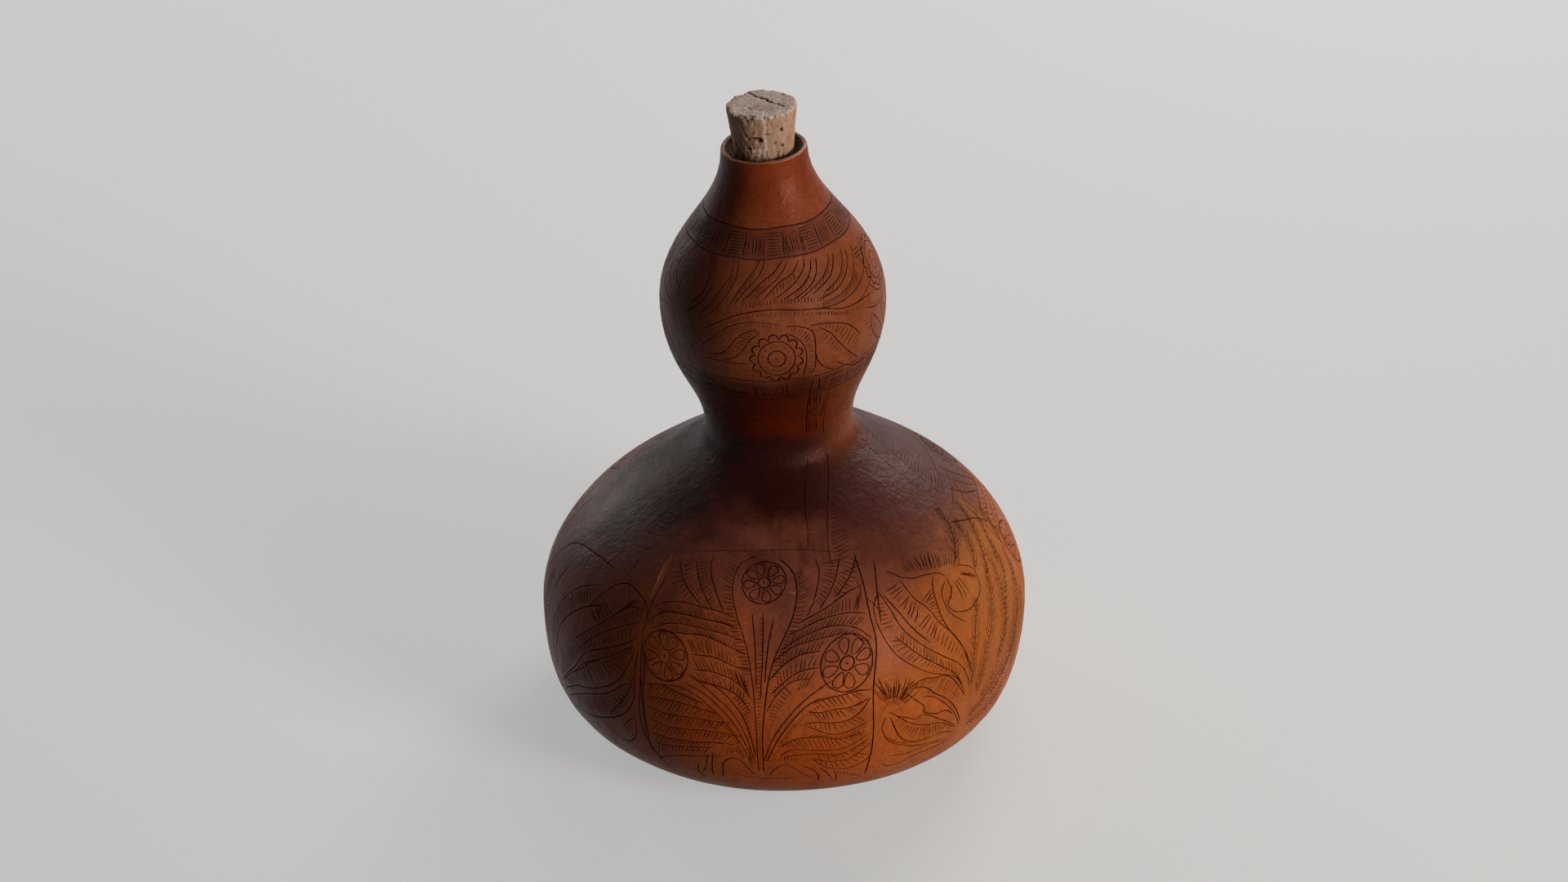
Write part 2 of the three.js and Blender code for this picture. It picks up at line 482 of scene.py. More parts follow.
def flowerStem():
    # opens into a teardrop round the top flower, with ladders and plumes beside it
    left = line((0.3, 55), (-0.6, 75), (-1.6, 90), (-4, 101), (-8, 112), (-9.6, 121), (-7.5, 129), (-2, 132))
    right = line((1.6, 55), (1.9, 75), (3.2, 90), (6, 100), (10, 110), (11.4, 119), (9.5, 127), (4, 132))
    line((1, 84), (1.2, 98), (0.8, 114))
    line((-0.6, 88), (-1, 100), (-2.6, 113))
    line((2.4, 90), (3, 102), (4.4, 112))
    tickRow([(0.3, 57), (0, 80), (-0.2, 112)], (1, 0.12), 1.4, 1.3)
    for rung in ((0.1, 0.2), (0.26, 0.34), (0.42, 0.5), (0.55, 0.62)):
        tickRow([(-2.8, 55), (-3.4, 75), (-4.8, 90), (-7.5, 101), (-11, 112)], (1.6, 0.2), 1, 0.95, rung)
        tickRow([(2.6, 55), (3.2, 75), (5.2, 90), (8, 100), (12, 110)], (1.6, -0.1), 1, 0.95, rung)
    hatch(left, [(-2, 55), (-4.5, 75), (-6, 90), (-9.5, 101), (-13, 112), (-14.5, 121), (-12, 130)],
          (0.06, 0.8), 1.6, 1.2, (0.45, 0.95))
    hatch(right, [(4, 55), (6, 75), (8, 90), (11.5, 100), (15.5, 110), (16.5, 119), (14, 128)],
          (0.06, 0.8), 1.6, 1.2, (0.45, 0.95))
    plumes = lines(
        [(-12, 112), (-15, 118), (-17.5, 125), (-16.5, 131)], [(-16, 112.6), (-20.5, 119), (-23, 128)],
        [(-20, 113.2), (-26.5, 119), (-29, 126)],
        [(15, 111), (17.5, 118), (18.5, 125), (16.5, 131)], [(19, 113), (23.5, 121), (25.5, 130)],
        [(24, 116), (29.5, 123), (31.4, 129)],
    )
    hatchPairs(plumes, ((1, 0), (2, 1), (4, 3), (5, 4)), (0.04, 0.85), 2.0)
    hatch(plumes[2], [(-24, 111), (-31, 115), (-35, 121)], lean=1.5)
    hatch(plumes[5], [(27, 114), (33, 120), (34, 127)], lean=1.5)


def sideStems():
    # they reach out to the two lower flowers
    lines(
        [(-2, 57), (-4, 64), (-10, 74), (-18, 82), (-26, 85), (-34, 84)],
        [(-0.8, 58.5), (-3, 68), (-8, 78.5), (-16, 86), (-24, 90)],
        [(-1.4, 58), (-3.6, 66), (-9, 76.5), (-17, 84), (-25, 87.5)],
        [(-0.5, 62), (-2.2, 70), (-6, 80), (-12, 86.5), (-19, 89)],
        [(2, 60), (6, 72), (13, 82), (22, 88.5), (24.5, 90)],
        [(3, 60), (7.5, 71.5), (14.5, 80.5), (19.5, 84), (22, 84.5)],
    )


def longFeathers():
    # they spread above the side stems, and ladders fill the angles under them
    feathers = lines(
        [(-2.5, 80), (-6, 85), (-13, 88), (-19, 88.5), (-23, 90.5)],
        [(-1.5, 84), (-7, 90), (-14, 92.2), (-22, 92)],
        [(-2, 94.5), (-7, 94.8), (-14, 97), (-23, 97)],
        [(-4, 99), (-9, 101), (-17, 103.3), (-26, 103), (-34, 101.5)],
        [(-4.5, 103), (-10, 104.8), (-20, 106), (-30, 105), (-38.5, 101)],
        [(-8, 107.5), (-14, 108.7), (-24, 109), (-33, 107.8), (-39.5, 103.5)],
        [(-9, 111), (-16, 112.4), (-25, 112.8), (-33, 111), (-38, 108)],
        [(3, 80), (6, 86), (11, 90.5), (18, 91)],
        [(4, 86), (9, 91), (15, 94), (20, 94.5)],
        [(3.6, 91), (8, 96), (14, 99), (20.5, 99.8)],
        [(4.5, 96.5), (11, 101.5), (20, 103.8), (30, 103.5), (36.5, 98)],
        [(6.5, 100.5), (14, 105), (24, 107), (32, 105), (38, 100)],
        [(9, 105.5), (18, 109), (28, 110.6), (36, 108.4)],
        [(12, 109), (20, 112.5), (28, 117), (34, 118)],
    )
    onLeft, onRight = range(0, 6), range(7, 13)
    hatchPairs(feathers, [(index, index + 1) for index in (*onLeft, *onRight)])
    hatch([(2.8, 64), (5.5, 76), (11, 85), (19, 89.5)],
          [(3.2, 70), (4.2, 84), (8, 92), (18, 93)], (0.1, 0.8), 2.8)
    hatch([(-2, 66), (-6, 80), (-12, 86)], [(-1.4, 72), (-3, 86), (-7, 91)], (0.1, 0.8))
    tickRow([(7.5, 69), (13, 77), (20, 82.5)], (0.9, -1.6), 1, 1.0)
    tickRow([(-6, 68), (-11, 75), (-17, 80.5)], (-1, -1.5), 1, 1.0)
    tickRow([(5, 64), (8, 69)], (1.3, -1.3), 1, 1.0)
    tickRow([(-4.5, 62), (-6.5, 67)], (-1.3, -1.3), 1, 1.0)


def lowLeaves():
    # long leaves low on the right
    edges = lines(
        [(17.5, 61), (22, 57), (27, 55), (32, 55.5), (38, 59.5)],
        [(17.5, 61.5), (22, 59.7), (27, 59.2), (31, 60), (38, 65)],
        [(8, 62), (12, 63), (20, 63), (25, 62), (30, 63), (37, 67)],
        [(7, 62), (10, 65), (14, 65.5), (20, 64.7), (27, 64), (32, 66), (37, 69)],
        [(7.5, 66.5), (12, 69.7), (16, 70), (22, 69.8), (27, 68.5), (36, 70)],
        [(15, 75), (19, 73), (24, 70.7), (30, 71), (37, 73.5)],
        [(15, 75.5), (19, 76), (23, 75), (28, 75), (33, 77), (37.5, 82)],
        [(16, 80), (20, 79.3), (25, 79.8), (30, 79.7), (37, 82)],
        [(18, 82.5), (22, 84), (27, 84.5), (33, 85), (38, 84)],
    )
    hatchPairs(edges, ((1, 0), (4, 3), (6, 5), (7, 6), (8, 7)), (0.02, 0.9), 3.2, 1.5)
    hatch(edges[2], edges[1], (0.05, 0.8), 3.0, 1.5, (0.35, 0.96))
    hatch(edges[4], edges[5], (0.05, 0.8), 3.0, 1.5, (0.3, 0.96))

    # their fellows low on the left
    edges = lines(
        [(-14, 60.5), (-25, 57.5), (-32, 54.5), (-35, 52)],
        [(-15, 63.5), (-24, 62), (-31, 60.3), (-37.5, 59.5)],
        [(-8, 66.5), (-16, 65.7), (-24, 64.5), (-31, 63.4), (-38.5, 63.5)],
        [(-5, 70), (-14, 70.5), (-22, 69.5), (-30, 68.5), (-39, 69.5)],
        [(-9, 75), (-18, 74.5), (-25, 74), (-33, 73.5), (-40, 74.5)],
        [(-12, 78), (-22, 79), (-30, 79.4), (-39, 78.5)],
        [(-18, 81), (-27, 83), (-33, 84.3), (-39, 82.5)],
    )
    hatchPairs(edges, [(index + 1, index) for index in range(6)], (0.04, 0.8), 3.4, 1.4)


def stemHumps():
    # little humps and hooks at the stem's foot
    lines(
        [(-12, 50), (-11.5, 57), (-9, 60.3), (-6, 60), (-3, 56), (-1.2, 53)],
        [(-15, 50), (-15.6, 56), (-15, 62)],
        [(-18.8, 50.5), (-17.5, 55), (-16.8, 61)],
        [(-20, 55), (-20.5, 51), (-18, 48.5)],
        [(3.5, 53), (5, 56.5), (8, 58.5), (11, 58), (14, 55), (18, 50.5)],
        [(14, 58.5), (18, 56), (19.6, 52), (18.8, 49)],
        [(20, 57), (23, 53), (24, 49.5)],
        [(24.5, 55), (25.6, 52), (25, 48)],
        [(-6, 52.5), (1, 52), (12, 52.3)],
    )
    tickRow([(-14, 57), (-13.6, 60), (-11, 62)], (-1.6, 0.3), 1, 1.0)
    tickRow([(-10, 62), (-7, 63), (-4, 62)], (-0.1, 1), 2.2, 1.0)
    tickRow([(6.5, 60), (9.5, 60.8), (13, 60)], (0.15, 1), 2.0, 1.0)
    tickRow([(26, 54.5), (30, 52.5), (34, 50)], (0.1, -1), 2.0, 1.1)


def flowerPanel():
    # stem with three flowers, under a frame
    flowerFrame()
    flowerStem()
    sideStems()
    longFeathers()
    lowLeaves()
    stemHumps()


def curledLeaf():
    outer = line((-29.5, 114.5), (-35, 109), (-37.5, 101), (-36.5, 93.5), (-32, 88), (-26, 83.5), (-20, 80.5),
                 (-15, 76.5), (-11.5, 70))
    inner = line((-29.5, 114.5), (-30, 107.5), (-30, 101), (-28, 96.5), (-24, 91), (-19, 86), (-14, 82),
                 (-10.5, 76.5), (-9.5, 71))
    line((-29, 113), (-27.5, 104.5), (-26, 98.5), (-22.5, 92.5))
    rib = line((-34, 99), (-29.5, 92), (-26.5, 88.5), (-22, 84.5), (-17, 80), (-13, 74))
    hatch(rib, outer, (0.02, 0.93), -2.2, 1.4, (0.04, 0.95))
    hatch(rib, inner, (0.02, 0.93), -2.0, 1.4, (0.04, 0.9))
    hatch(outer, inner, (0.15, 0.85), 0.5, 1.4, (0.08, 0.26))
    second = line((-20, 115.5), (-20, 108.5), (-17, 102.5), (-16, 97.5), (-13, 92), (-10.5, 85), (-9, 76))
    hatch([(-28, 118), (-26, 104), (-24, 97.5), (-18.5, 88.5), (-13, 83), (-10, 76)], second,
          (0.05, 0.9), -1.8, 1.6)
    third = line((-8, 111.5), (-11.5, 108), (-14, 101), (-14, 95.5), (-12, 89.5), (-10, 83.5), (-8, 76))
    hatch(third, second, (0.03, 0.93), -1.6, 1.4, (0.1, 0.95))


def fringedBud():
    line((-3.5, 108.5), (-5.5, 104), (-9.5, 101), (-8, 98), (-3.5, 96), (2.5, 96.5), (7, 98.5), (9.5, 103),
         (8.5, 106.5), (3, 110))
    line((-5.5, 108), (-9.5, 105.5), (-10.5, 101.5), (-10, 98), (-6, 93))
    line((-22.5, 120), (-21, 119), (-19.5, 116.5), (-15.5, 114), (-11, 113.5), (-6, 111.5), (-3.5, 108.5))
    hatch([(-19, 117), (-12, 114.5), (-5, 112), (0, 111), (5, 108)],
          [(-17, 121), (-9, 121), (-1, 118), (4, 115), (9, 110)], (0.1, 1.0), 0.8, 1.0)
    hatch([(-4, 106), (2, 107.5), (8, 104)], [(-13, 104), (-7, 98), (0, 96.5), (7, 98), (12, 103)],
          (0.05, 0.8), 0.1, 1.2, (0.04, 0.78))
    hatch([(-8, 104), (-9, 101), (-7, 98)], [(-16, 108), (-12, 100), (-9, 92)], (0.1, 0.6), 0.5, 1.3)


def rootFeathers():
    # the first ones stand close beside the stem
    feather([(-9, 72), (-6.5, 81), (-2, 90), (3, 97)], 2.6, 3.0)
    feather([(-5.5, 66.5), (0, 79), (8.5, 90), (15, 101)], 3.2)
    feather([(-3, 64), (7, 70), (12, 78), (16, 86), (19.5, 95), (21, 104)], 3.4, 2.6, 1.6)
    feather([(-8.5, 59), (3, 63.5), (13, 69.5), (20, 76.5), (25.5, 83), (31, 91), (34, 99)], 3.6, 2.4, 1.6)
    feather([(-8.5, 55.5), (5.5, 56.5), (17, 61), (25, 68), (31, 77), (35, 85)], 3.6, 2.4, 1.6)
    feather([(18, 50), (27, 57), (34, 68), (38, 78)], 3.2, 2.2, 1.7)
    feather([(7, 74), (14, 81), (20, 90), (26, 97), (28, 105)], 2.6, 2.0, 1.6)
    feather([(12, 64.5), (20, 70), (27, 78), (32, 88), (34, 95)], 2.8, 2.0, 1.6)
    feather([(4, 61), (14, 66), (22, 74), (28, 83)], 2.6, 2.0, 1.6)
    feather([(10, 104), (14, 109), (17, 115), (17, 121)], 2.8)
    feather([(14, 100), (21, 108), (25, 116), (26, 122)], 2.8, 2.4)
    feather([(24, 99), (28, 106), (31, 114)], 2.8, 2.2)
    feather([(4, 111), (9, 115), (13, 121), (14, 127)], 2.6)
    feather([(35, 100), (37, 106), (37, 112)], 2.6)
    line((15, 121), (22, 117), (30, 113), (37, 106), (41, 97), (43, 84), (42, 70), (38, 56))


def backLeaves():
    # leaves that lean back from the root, with a shield and a tassel
    upper = line((-35.5, 81), (-30.5, 82.5), (-25, 81.5), (-20, 80), (-15, 75), (-11.5, 69))
    middle = line((-35.5, 80.5), (-30, 80), (-26, 76.5), (-20.5, 72), (-15.5, 66), (-12.5, 59))
    hatch(upper, middle, (0.05, 0.95), -1.0, 1.25)
    lower = line((-31, 76.5), (-28, 76), (-24.5, 74), (-19.5, 68.5), (-15.5, 63.5), (-12.5, 57.5))
    hatch(middle, lower, (0.1, 0.9), 0.5, 1.3, (0.2, 0.9))
    line((-37, 80), (-33.5, 76.5), (-30, 73), (-30, 71), (-25, 68), (-21.5, 68), (-17, 64.5))
    line((-41, 73), (-36.5, 71), (-33, 69), (-30.5, 70), (-25.5, 67), (-19, 62), (-15, 58.5))
    low = line((-43, 75), (-35.5, 68.5), (-28.5, 65), (-22, 63), (-14, 57.5))
    shield = line((-43, 73), (-41.5, 69), (-38.5, 63.5), (-34, 60), (-29, 59), (-26, 59), (-21, 58.5),
                  (-15.5, 56))
    hatch(low, shield, (0.08, 0.85), 1.0, 1.2, (0.12, 0.9))
    line((-44.5, 73.5), (-46, 70.5), (-45.5, 67.5), (-42.5, 63), (-38, 60.5), (-30, 57), (-20, 55.5))
    tickRow([(-44, 65), (-41, 62.5), (-36, 60)], (2.4, -0.6), 1, 1.1)
    line((-43, 53.5), (-41, 51.5), (-37, 51), (-33, 52.5), (-24, 53), (-17, 52.5))
    line((-42, 57), (-34, 55), (-26, 55.6), (-18, 54))
    tassel(-42.5, 75, 4.2, 14.5, 22, 118, 30)
    tassel(-42.5, 75, 2.6, 6, -5, 150, 11)


def leafPanel():
    # a great curled leaf and feathers that rise from one root
    curledLeaf()
    fringedBud()
    rootFeathers()
    backLeaves()


def leftPanel():
    # leaves that meet in a point at the upper right, under an arch
    arch = line((14, 97), (17.5, 107), (20, 110), (24.5, 111.5), (29.5, 110), (34.5, 108), (37, 105.5),
                (39, 103), (39.5, 99))
    line((41.5, 93.5), (43.5, 86.5), (45, 78.5), (44.5, 73.5), (40.5, 67.5), (33.5, 62), (22.5, 57), (8, 53))
    first = line((14, 84), (18.5, 90), (24, 97), (28, 103), (31, 105.5), (36, 105.5))
    hatch(first, arch, (0.1, 0.85), 0.5, 1.1, (0.2, 0.95))
    second = line((17, 82.5), (21.5, 88.5), (28, 95), (33, 99.5), (38, 102.5))
    hatch(first, second, (0.1, 0.9), 1.4, 1.1, (0.05, 0.95))
    upper = line((2, 60), (8, 66), (14.5, 72.5), (20.5, 82), (25.5, 86), (31, 89.5), (36, 93), (39.5, 97))
    hatch([(17, 76), (22, 84), (30, 90), (38, 96)], second, (0.1, 0.85), 1.2, 1.2)
    lower = line((4, 61), (15.5, 72), (22, 79), (28.5, 84), (33.5, 87.5), (37, 91.5), (40, 93.5))
    line((15, 71), (19.5, 74.5), (23.5, 80), (28.5, 83))
    swoop = line((4, 58), (15.5, 65.5), (25.5, 70), (33.5, 75), (38, 80), (40, 85), (41, 93))
    hatch(lower, swoop, (0.06, 0.85), 1.2, 1.1, (0.1, 0.95))
    hatch(lower, upper, (0.1, 0.85), 1.0, 1.2, (0.1, 0.9))
    under = line((6, 56), (15.5, 62), (27, 68.5), (34.5, 73), (40, 78.5), (43.5, 81))
    hatch(under, [(8, 53), (22.5, 57), (33.5, 62), (40.5, 67.5), (44.5, 73.5), (45, 78.5)],
          (0.06, 0.85), 1.5, 1.4, (0.15, 0.95))
    line((39.5, 62), (44, 67), (45, 63.5), (43.5, 59), (40, 55), (36, 54.5), (31.5, 56.5))
    tickRow([(39, 61), (41, 58.5), (43, 57.5)], (1.5, 2.2), 1, 1.0)
    hatch(upper, [(-2, 62), (2, 70), (8, 80), (14, 88), (20, 93)], (0.1, 0.7), 1.5, 1.3, (0.05, 0.8))
    feather([(33, 63), (38, 69), (42, 76), (43.5, 84)], 2.2, 1.6, 1.3)
    left = line((-4, 60), (-4, 74), (-2, 88), (4, 99), (13, 106))
    right = line((-1, 62), (0.5, 74), (4, 86), (11, 95), (20, 101))
    hatch(left, right, (0.08, 0.85), 1.2, 1.5)
    left = line((-8, 60), (-14, 70), (-19, 82), (-18, 95))
    right = line((-6, 64), (-9, 76), (-11, 88), (-8, 101))
    hatch(left, right, (0.08, 0.85), 1.2, 1.5)
    line((-24, 58), (-27, 70), (-27, 84), (-22, 98), (-12, 108), (2, 112), (14, 113))


def betweenPanels():
    # the double line that divides the front from the left
    line((41, 97), (45.5, 87.5), (47, 79.5), (47, 70.5), (48, 62), (50, 54))
    line((44.5, 93), (47.6, 85), (48.6, 77), (49, 69.5), (49.8, 60))


def garland():
    # a narrow upright strip between two panels
    line((-7, 52), (-8, 75), (-7, 98), (-5, 116))
    line((7, 52), (8, 75), (7, 98), (5, 116))
    feather([(0, 54), (0.8, 75), (-0.6, 96), (0, 112)], 5, 4.0, 2.4)


def vineOverFlower():
    scallopedFlower(6.5, 212)
    line((-19.5, 214), (-14, 219), (-8, 223), (-1.5, 225), (4, 224.5), (8.5, 223.5))
    line((-18, 210), (-11, 210), (-7, 210), (-2.5, 210.4))
    upper = line((-17, 211.5), (-10.5, 214), (-7, 218), (-4, 221), (0.5, 223))
    lower = line((-12, 210.6), (-9, 211.5), (-5, 214), (-3, 217), (-0.5, 220), (2, 221.5))
    hatch(upper, lower, (0.05, 0.95), 1.5, 1.3)
    line((-18, 220.6), (-11.5, 224), (-5.5, 227.2), (1, 228.6), (8.5, 228.6), (20, 227), (33, 224),
         (46.5, 223.6))
    tickRow([(-16, 219.6), (-8, 224), (0, 226.6), (12, 226.6), (24, 224), (33, 221.5)], (0.3, 1.2), 1, 1.5)
    tickRow([(-4, 229.4), (4, 230.2), (13, 230), (24, 228.4)], (0, 1), 2.2, 1.1)
    tickRow([(-14, 217), (-8, 221.5), (-1, 223.5), (6, 222.6)], (0.3, 1.1), 1, 1.2)
    tickRow([(21, 226), (30, 223.4), (38, 222.6), (45, 222.4)], (0.2, -1.4), 1, 1.2)


def sheath():
    # it wraps the flower's right side
    outer = line((10, 223), (14.5, 222.5), (18.5, 220), (19.5, 216), (19.5, 211.5), (19, 207), (16.5, 204))
    inner = line((9.5, 220.8), (12.5, 219.4), (15.2, 216.4), (16.2, 212.5), (16, 208), (14.5, 203.5))
    hatch(outer, inner, (0.2, 0.9), 0.6, 1.4)
    line((19.5, 213), (20, 209), (22, 206), (26.5, 203), (30, 204))
    hatch([(20.5, 214.5), (23, 215.5), (25.5, 213.5), (28, 210.5)],
          [(20.4, 210), (22, 207), (25.5, 204.6), (29, 205)], (0.05, 0.9), 0.3, 1.5)
    rib = line((21, 221), (25.5, 217.5), (28.5, 213), (32.5, 208), (36.5, 203.5))
    top = line((18, 222), (21.5, 222), (25.5, 221), (30, 219.5), (33.5, 217.5), (36.5, 214.5), (37.6, 212))
    hatch(top, rib, (0.1, 0.9), 1.0, 1.6, (0.2, 1.0))
    hatch(rib, [(20.5, 218), (23.5, 213.5), (28, 207.5), (33, 203.4)], (0.1, 0.9), 0.3, 1.6)
    line((27, 206.5), (30, 203.6), (35.5, 201.4), (40, 201.2))
    hatch([(37, 219), (41, 213), (44, 206)], [(41, 220), (45, 214), (48, 207)],
          (0.0, 0.95), 2.0, 1.8)


def blades():
    # they sweep down from the band to the vine, each with two edges
    edges = (
        ([(-16, 244.5), (-16, 240.5), (-17, 235), (-20, 230.5), (-24, 227.5)],
         [(-14, 244.5), (-14, 241), (-14.5, 236.5), (-17.5, 231), (-21, 227), (-27, 223)]),
        ([(-7.5, 245), (-8, 240), (-11, 235.5), (-15, 229.5), (-20, 224.5)],
         [(-6, 244.5), (-6, 240.5), (-7.5, 236), (-11, 231), (-16.5, 225)]),
        ([(1, 245), (-0.5, 241.5), (-4, 236.5), (-7, 232), (-10, 229)],
         [(2.4, 245), (2, 242), (0.5, 239), (-2.5, 235.5), (-7, 230)]),
        ([(8.5, 244.5), (6, 241), (2, 238), (-1.5, 234), (-5, 230.8)],
         [(10, 244), (9, 241.5), (6.6, 238.5), (3.4, 235.4), (0, 232.4)]),
        ([(13.5, 243.6), (12, 240), (8, 237.4), (5, 234.8), (2, 232)],
         [(15.5, 243.4), (15.4, 240.5), (12.8, 237), (9.5, 234.3), (6, 231.8)]),
        ([(18, 243), (18, 239.5), (16, 236.2), (12.5, 233.6), (9, 231.6)],
         [(20, 243), (20.2, 238.6), (18.4, 235.2), (15, 232.6), (12, 231)]),
        ([(25, 242.5), (25, 239.5), (23, 237), (20, 234.6), (17, 232.4), (14, 230.8)],
         [(27, 242), (27, 239), (25.6, 236), (22.2, 233.6), (18.6, 231.6)]),
        ([(31, 242.5), (31.5, 238), (30, 235), (26.5, 232.8), (22.5, 231.2)],
         [(33, 242), (34, 238), (33, 234.6), (30, 232), (25.5, 230.4), (21, 229.6)]),
        ([(37, 241), (37.5, 237), (36.4, 233), (33, 230.2), (28, 228.6), (22, 228)],
         [(43, 241), (44, 236), (42.5, 231.5), (38.5, 228.6), (33, 227), (26.5, 226.6), (20, 227)]),
    )
    for index, (left, right) in enumerate(edges):
        left, right = line(*left), line(*right)
        if index in (0, len(edges) - 1):
            hatch(left, right, (0.1, 0.9), 1.6, 1.0)
        else:
            hatch(left, right, (0.1, 0.85), 2.0, 1.15, (0.2, 0.95))
    line((47, 233), (46.5, 229), (44, 226.2), (39, 224.2), (33, 223.8))


def lowFlower():
    # a scalloped flower under the vine, with blades sweeping down over it
    vineOverFlower()
    sheath()
    blades()


def highFlower():
    # the vine dips under this flower, which stands up to the band
    scallopedFlower(17.5, 231, 8.2, 12)
    lines(
        [(31, 243), (33, 238), (37.5, 232.5), (45, 229)],
        [(28, 242.8), (29.5, 237), (33.5, 231), (40, 227.5)],
        [(26, 240), (27, 233), (31, 227.5), (37, 224.8), (45, 223.6)],
        [(9.5, 226), (13, 222.6), (18, 221.4), (23, 222.6), (26, 226)],
    )
    left = line((4, 220.6), (10, 218.2), (18, 217.8), (28, 218.6), (40, 221.6))
    hatch(left, [(4, 223), (10, 221), (18, 220.4), (28, 222), (40, 225)], (0.1, 0.8), 0.8, 1.4)
    for x in (6, 15, 24, 33):
        low = line((x, 217.4), (x + 1.5, 211), (x + 6, 205.5), (x + 11, 203))
        high = line((x + 1, 217.4), (x + 5.5, 213), (x + 9.5, 208), (x + 11, 203))
        hatch(low, high, (0.08, 0.85), 1.0, 1.4)
    hatch([(31, 242), (33, 237), (37, 232)], [(28, 241), (30, 236), (34, 231)],
          (0.1, 0.8), 1.0, 1.3)


# the two hatched bands round the bulb, square by square
bands = {
    "low": (194.6, 203.2),  # edges, along the outline
    "high": (244.9, 254.6),
    "spacing": 1.0,
    "bold": 0.75,
    "slant": 1.8,
    "shaky": 0.1,
    "frontWidth": 95,  # degrees to either side of the front that are hatched in full
}


def square(low, high, width, pattern, sparse):
    # level strokes, upright ones or slanted ones, and the line that parts it from the next square
    half, middle = width / 2, (low + high) / 2
    shaky, spacing = bands["shaky"], bands["spacing"] * sparse
    if pattern == "level":
        for y in np.arange(low + 0.6, high, spacing):
            tick((0.3 - half, y), (half - 0.25, y + hand.uniform(-shaky, shaky)), bands["bold"])
    else:
        slant = bands["slant"] if pattern == "slanted" else 0.0
        for x in np.arange(0.5 - half, half - slant, spacing):
            top = x + slant + hand.uniform(-shaky, shaky)
            tick((x, low + 0.5), (top, high - 0.5), bands["bold"])
    line((half, low), (half, middle), (half, high))


def hatchedBand(edges, squares, first, patterns, rims):
    # all the way round, starting at the meridian named first
    for y in edges:
        drawAt(0, weight=0.7)
        around = 2 * math.pi * radiusAlong(y)
        x = np.linspace(0, around, int(around / 3.2), endpoint=False)
        loop(np.stack([x, y + 0.2 * np.sin(x / 3)], 1))
    low, high = edges
    width = 2 * math.pi * radiusAlong((low + high) / 2) / squares
    for index in range(squares):
        degrees = first + 360 * index / squares
        inFront = abs(math.remainder(degrees, 360)) < bands["frontWidth"]
        sparse = 1.0 if inFront else 2.0
        drawAt(degrees, weight=0.95, sparse=sparse)
        square(low + rims, high - rims, width, patterns[index % len(patterns)], sparse)


def strap(low=172.5):
    # an upright strip across the waist, with a zigzag between hatched squares
    line((18, 202.5), (16.5, 196.5), (14.5, 186), (13.5, 178), (13.5, low))
    line((25, 200.5), (23, 193.5), (21, 183), (20, 175), (20, low - 2))
    for y in np.arange(195, 201.5, 1.1):
        tick((17.6 + (y - 196) * 0.15, y), (23.4 + (y - 196) * 0.2, y))
    for step in range(4):
        tick((16.6 + step * 1.1, 194), (15.6 + step * 1.1, 187.4))
        tick((14.4 + step, 180.5), (14.2 + step, 173.6))
    line((19.4, 188.4), (15.2, 184.5), (18.8, 181), (20.6, 186))
    for step in range(3):
        tick((15.6 + step * 0.8, 184.4), (18.4, 186.6 - step * 0.9))
    tickRow([(18.2, 174), (19, 180), (20.6, 190), (21.4, 194)], (1.7, 0.1), 1, 0.95)


def shoulderStrap(meridian, sparse):
    # worn faint by handling
    drawAt(meridian, weight=0.55, sparse=sparse)
    low = line((19.5, 168), (20.5, 160), (20, 148), (20.5, 139), (21.5, 131), (23.5, 126))
    line((12.5, 166), (12, 156), (12.5, 147.5), (13.5, 141.5), (14, 133))
    line((33, 125), (28, 124), (22, 123))
    tickRow([(13.6, 140), (14, 136), (14.4, 132)], (3, 0.4), 1, 1.2)
    hatch(low, [(26, 160), (27, 148), (29, 138), (33, 126)], (0.1, 0.8), 1.0, 1.4, (0.45, 0.97))
    line((30.5, 121), (33, 117.5), (33.5, 112.5))
    line((34.5, 114.5), (39, 110), (43.5, 105.5))


def engrave():
    for meridian, panel, mirrored, sparse in (
        (-6, flowerPanel, False, 1.0), (55, leafPanel, False, 1.0), (114, flowerPanel, False, 2.2),
        (173, leafPanel, False, 2.6), (225, flowerPanel, True, 2.6), (-68, leftPanel, False, 1.1),
        (-68, betweenPanels, False, 1.0), (-101, garland, False, 1.5),
    ):
        drawAt(meridian, mirrored, sparse=sparse)
        panel()
    for meridian, sparse in ((-6, 1.0), (55, 1.0), (112, 2.0), (171, 2.0), (224, 2.0), (280, 2.0)):
        shoulderStrap(meridian, sparse)
    for meridian, sparse in ((-8, 1.0), (172, 2.1)):
        drawAt(meridian, weight=0.85, sparse=sparse)
        lowFlower()
        drawAt(meridian + 58, weight=0.85, sparse=sparse)
        highFlower()
    hatchedBand(bands["high"], 24, -25, ("level", "upright", "level", "upright", "level", "slanted"), 0.6)
    hatchedBand(bands["low"], 20, -20, ("level", "upright", "level", "level"), 0.5)
    for meridian in (-8, 92, 172, 252):
        drawAt(meridian, weight=0.85)
        strap()


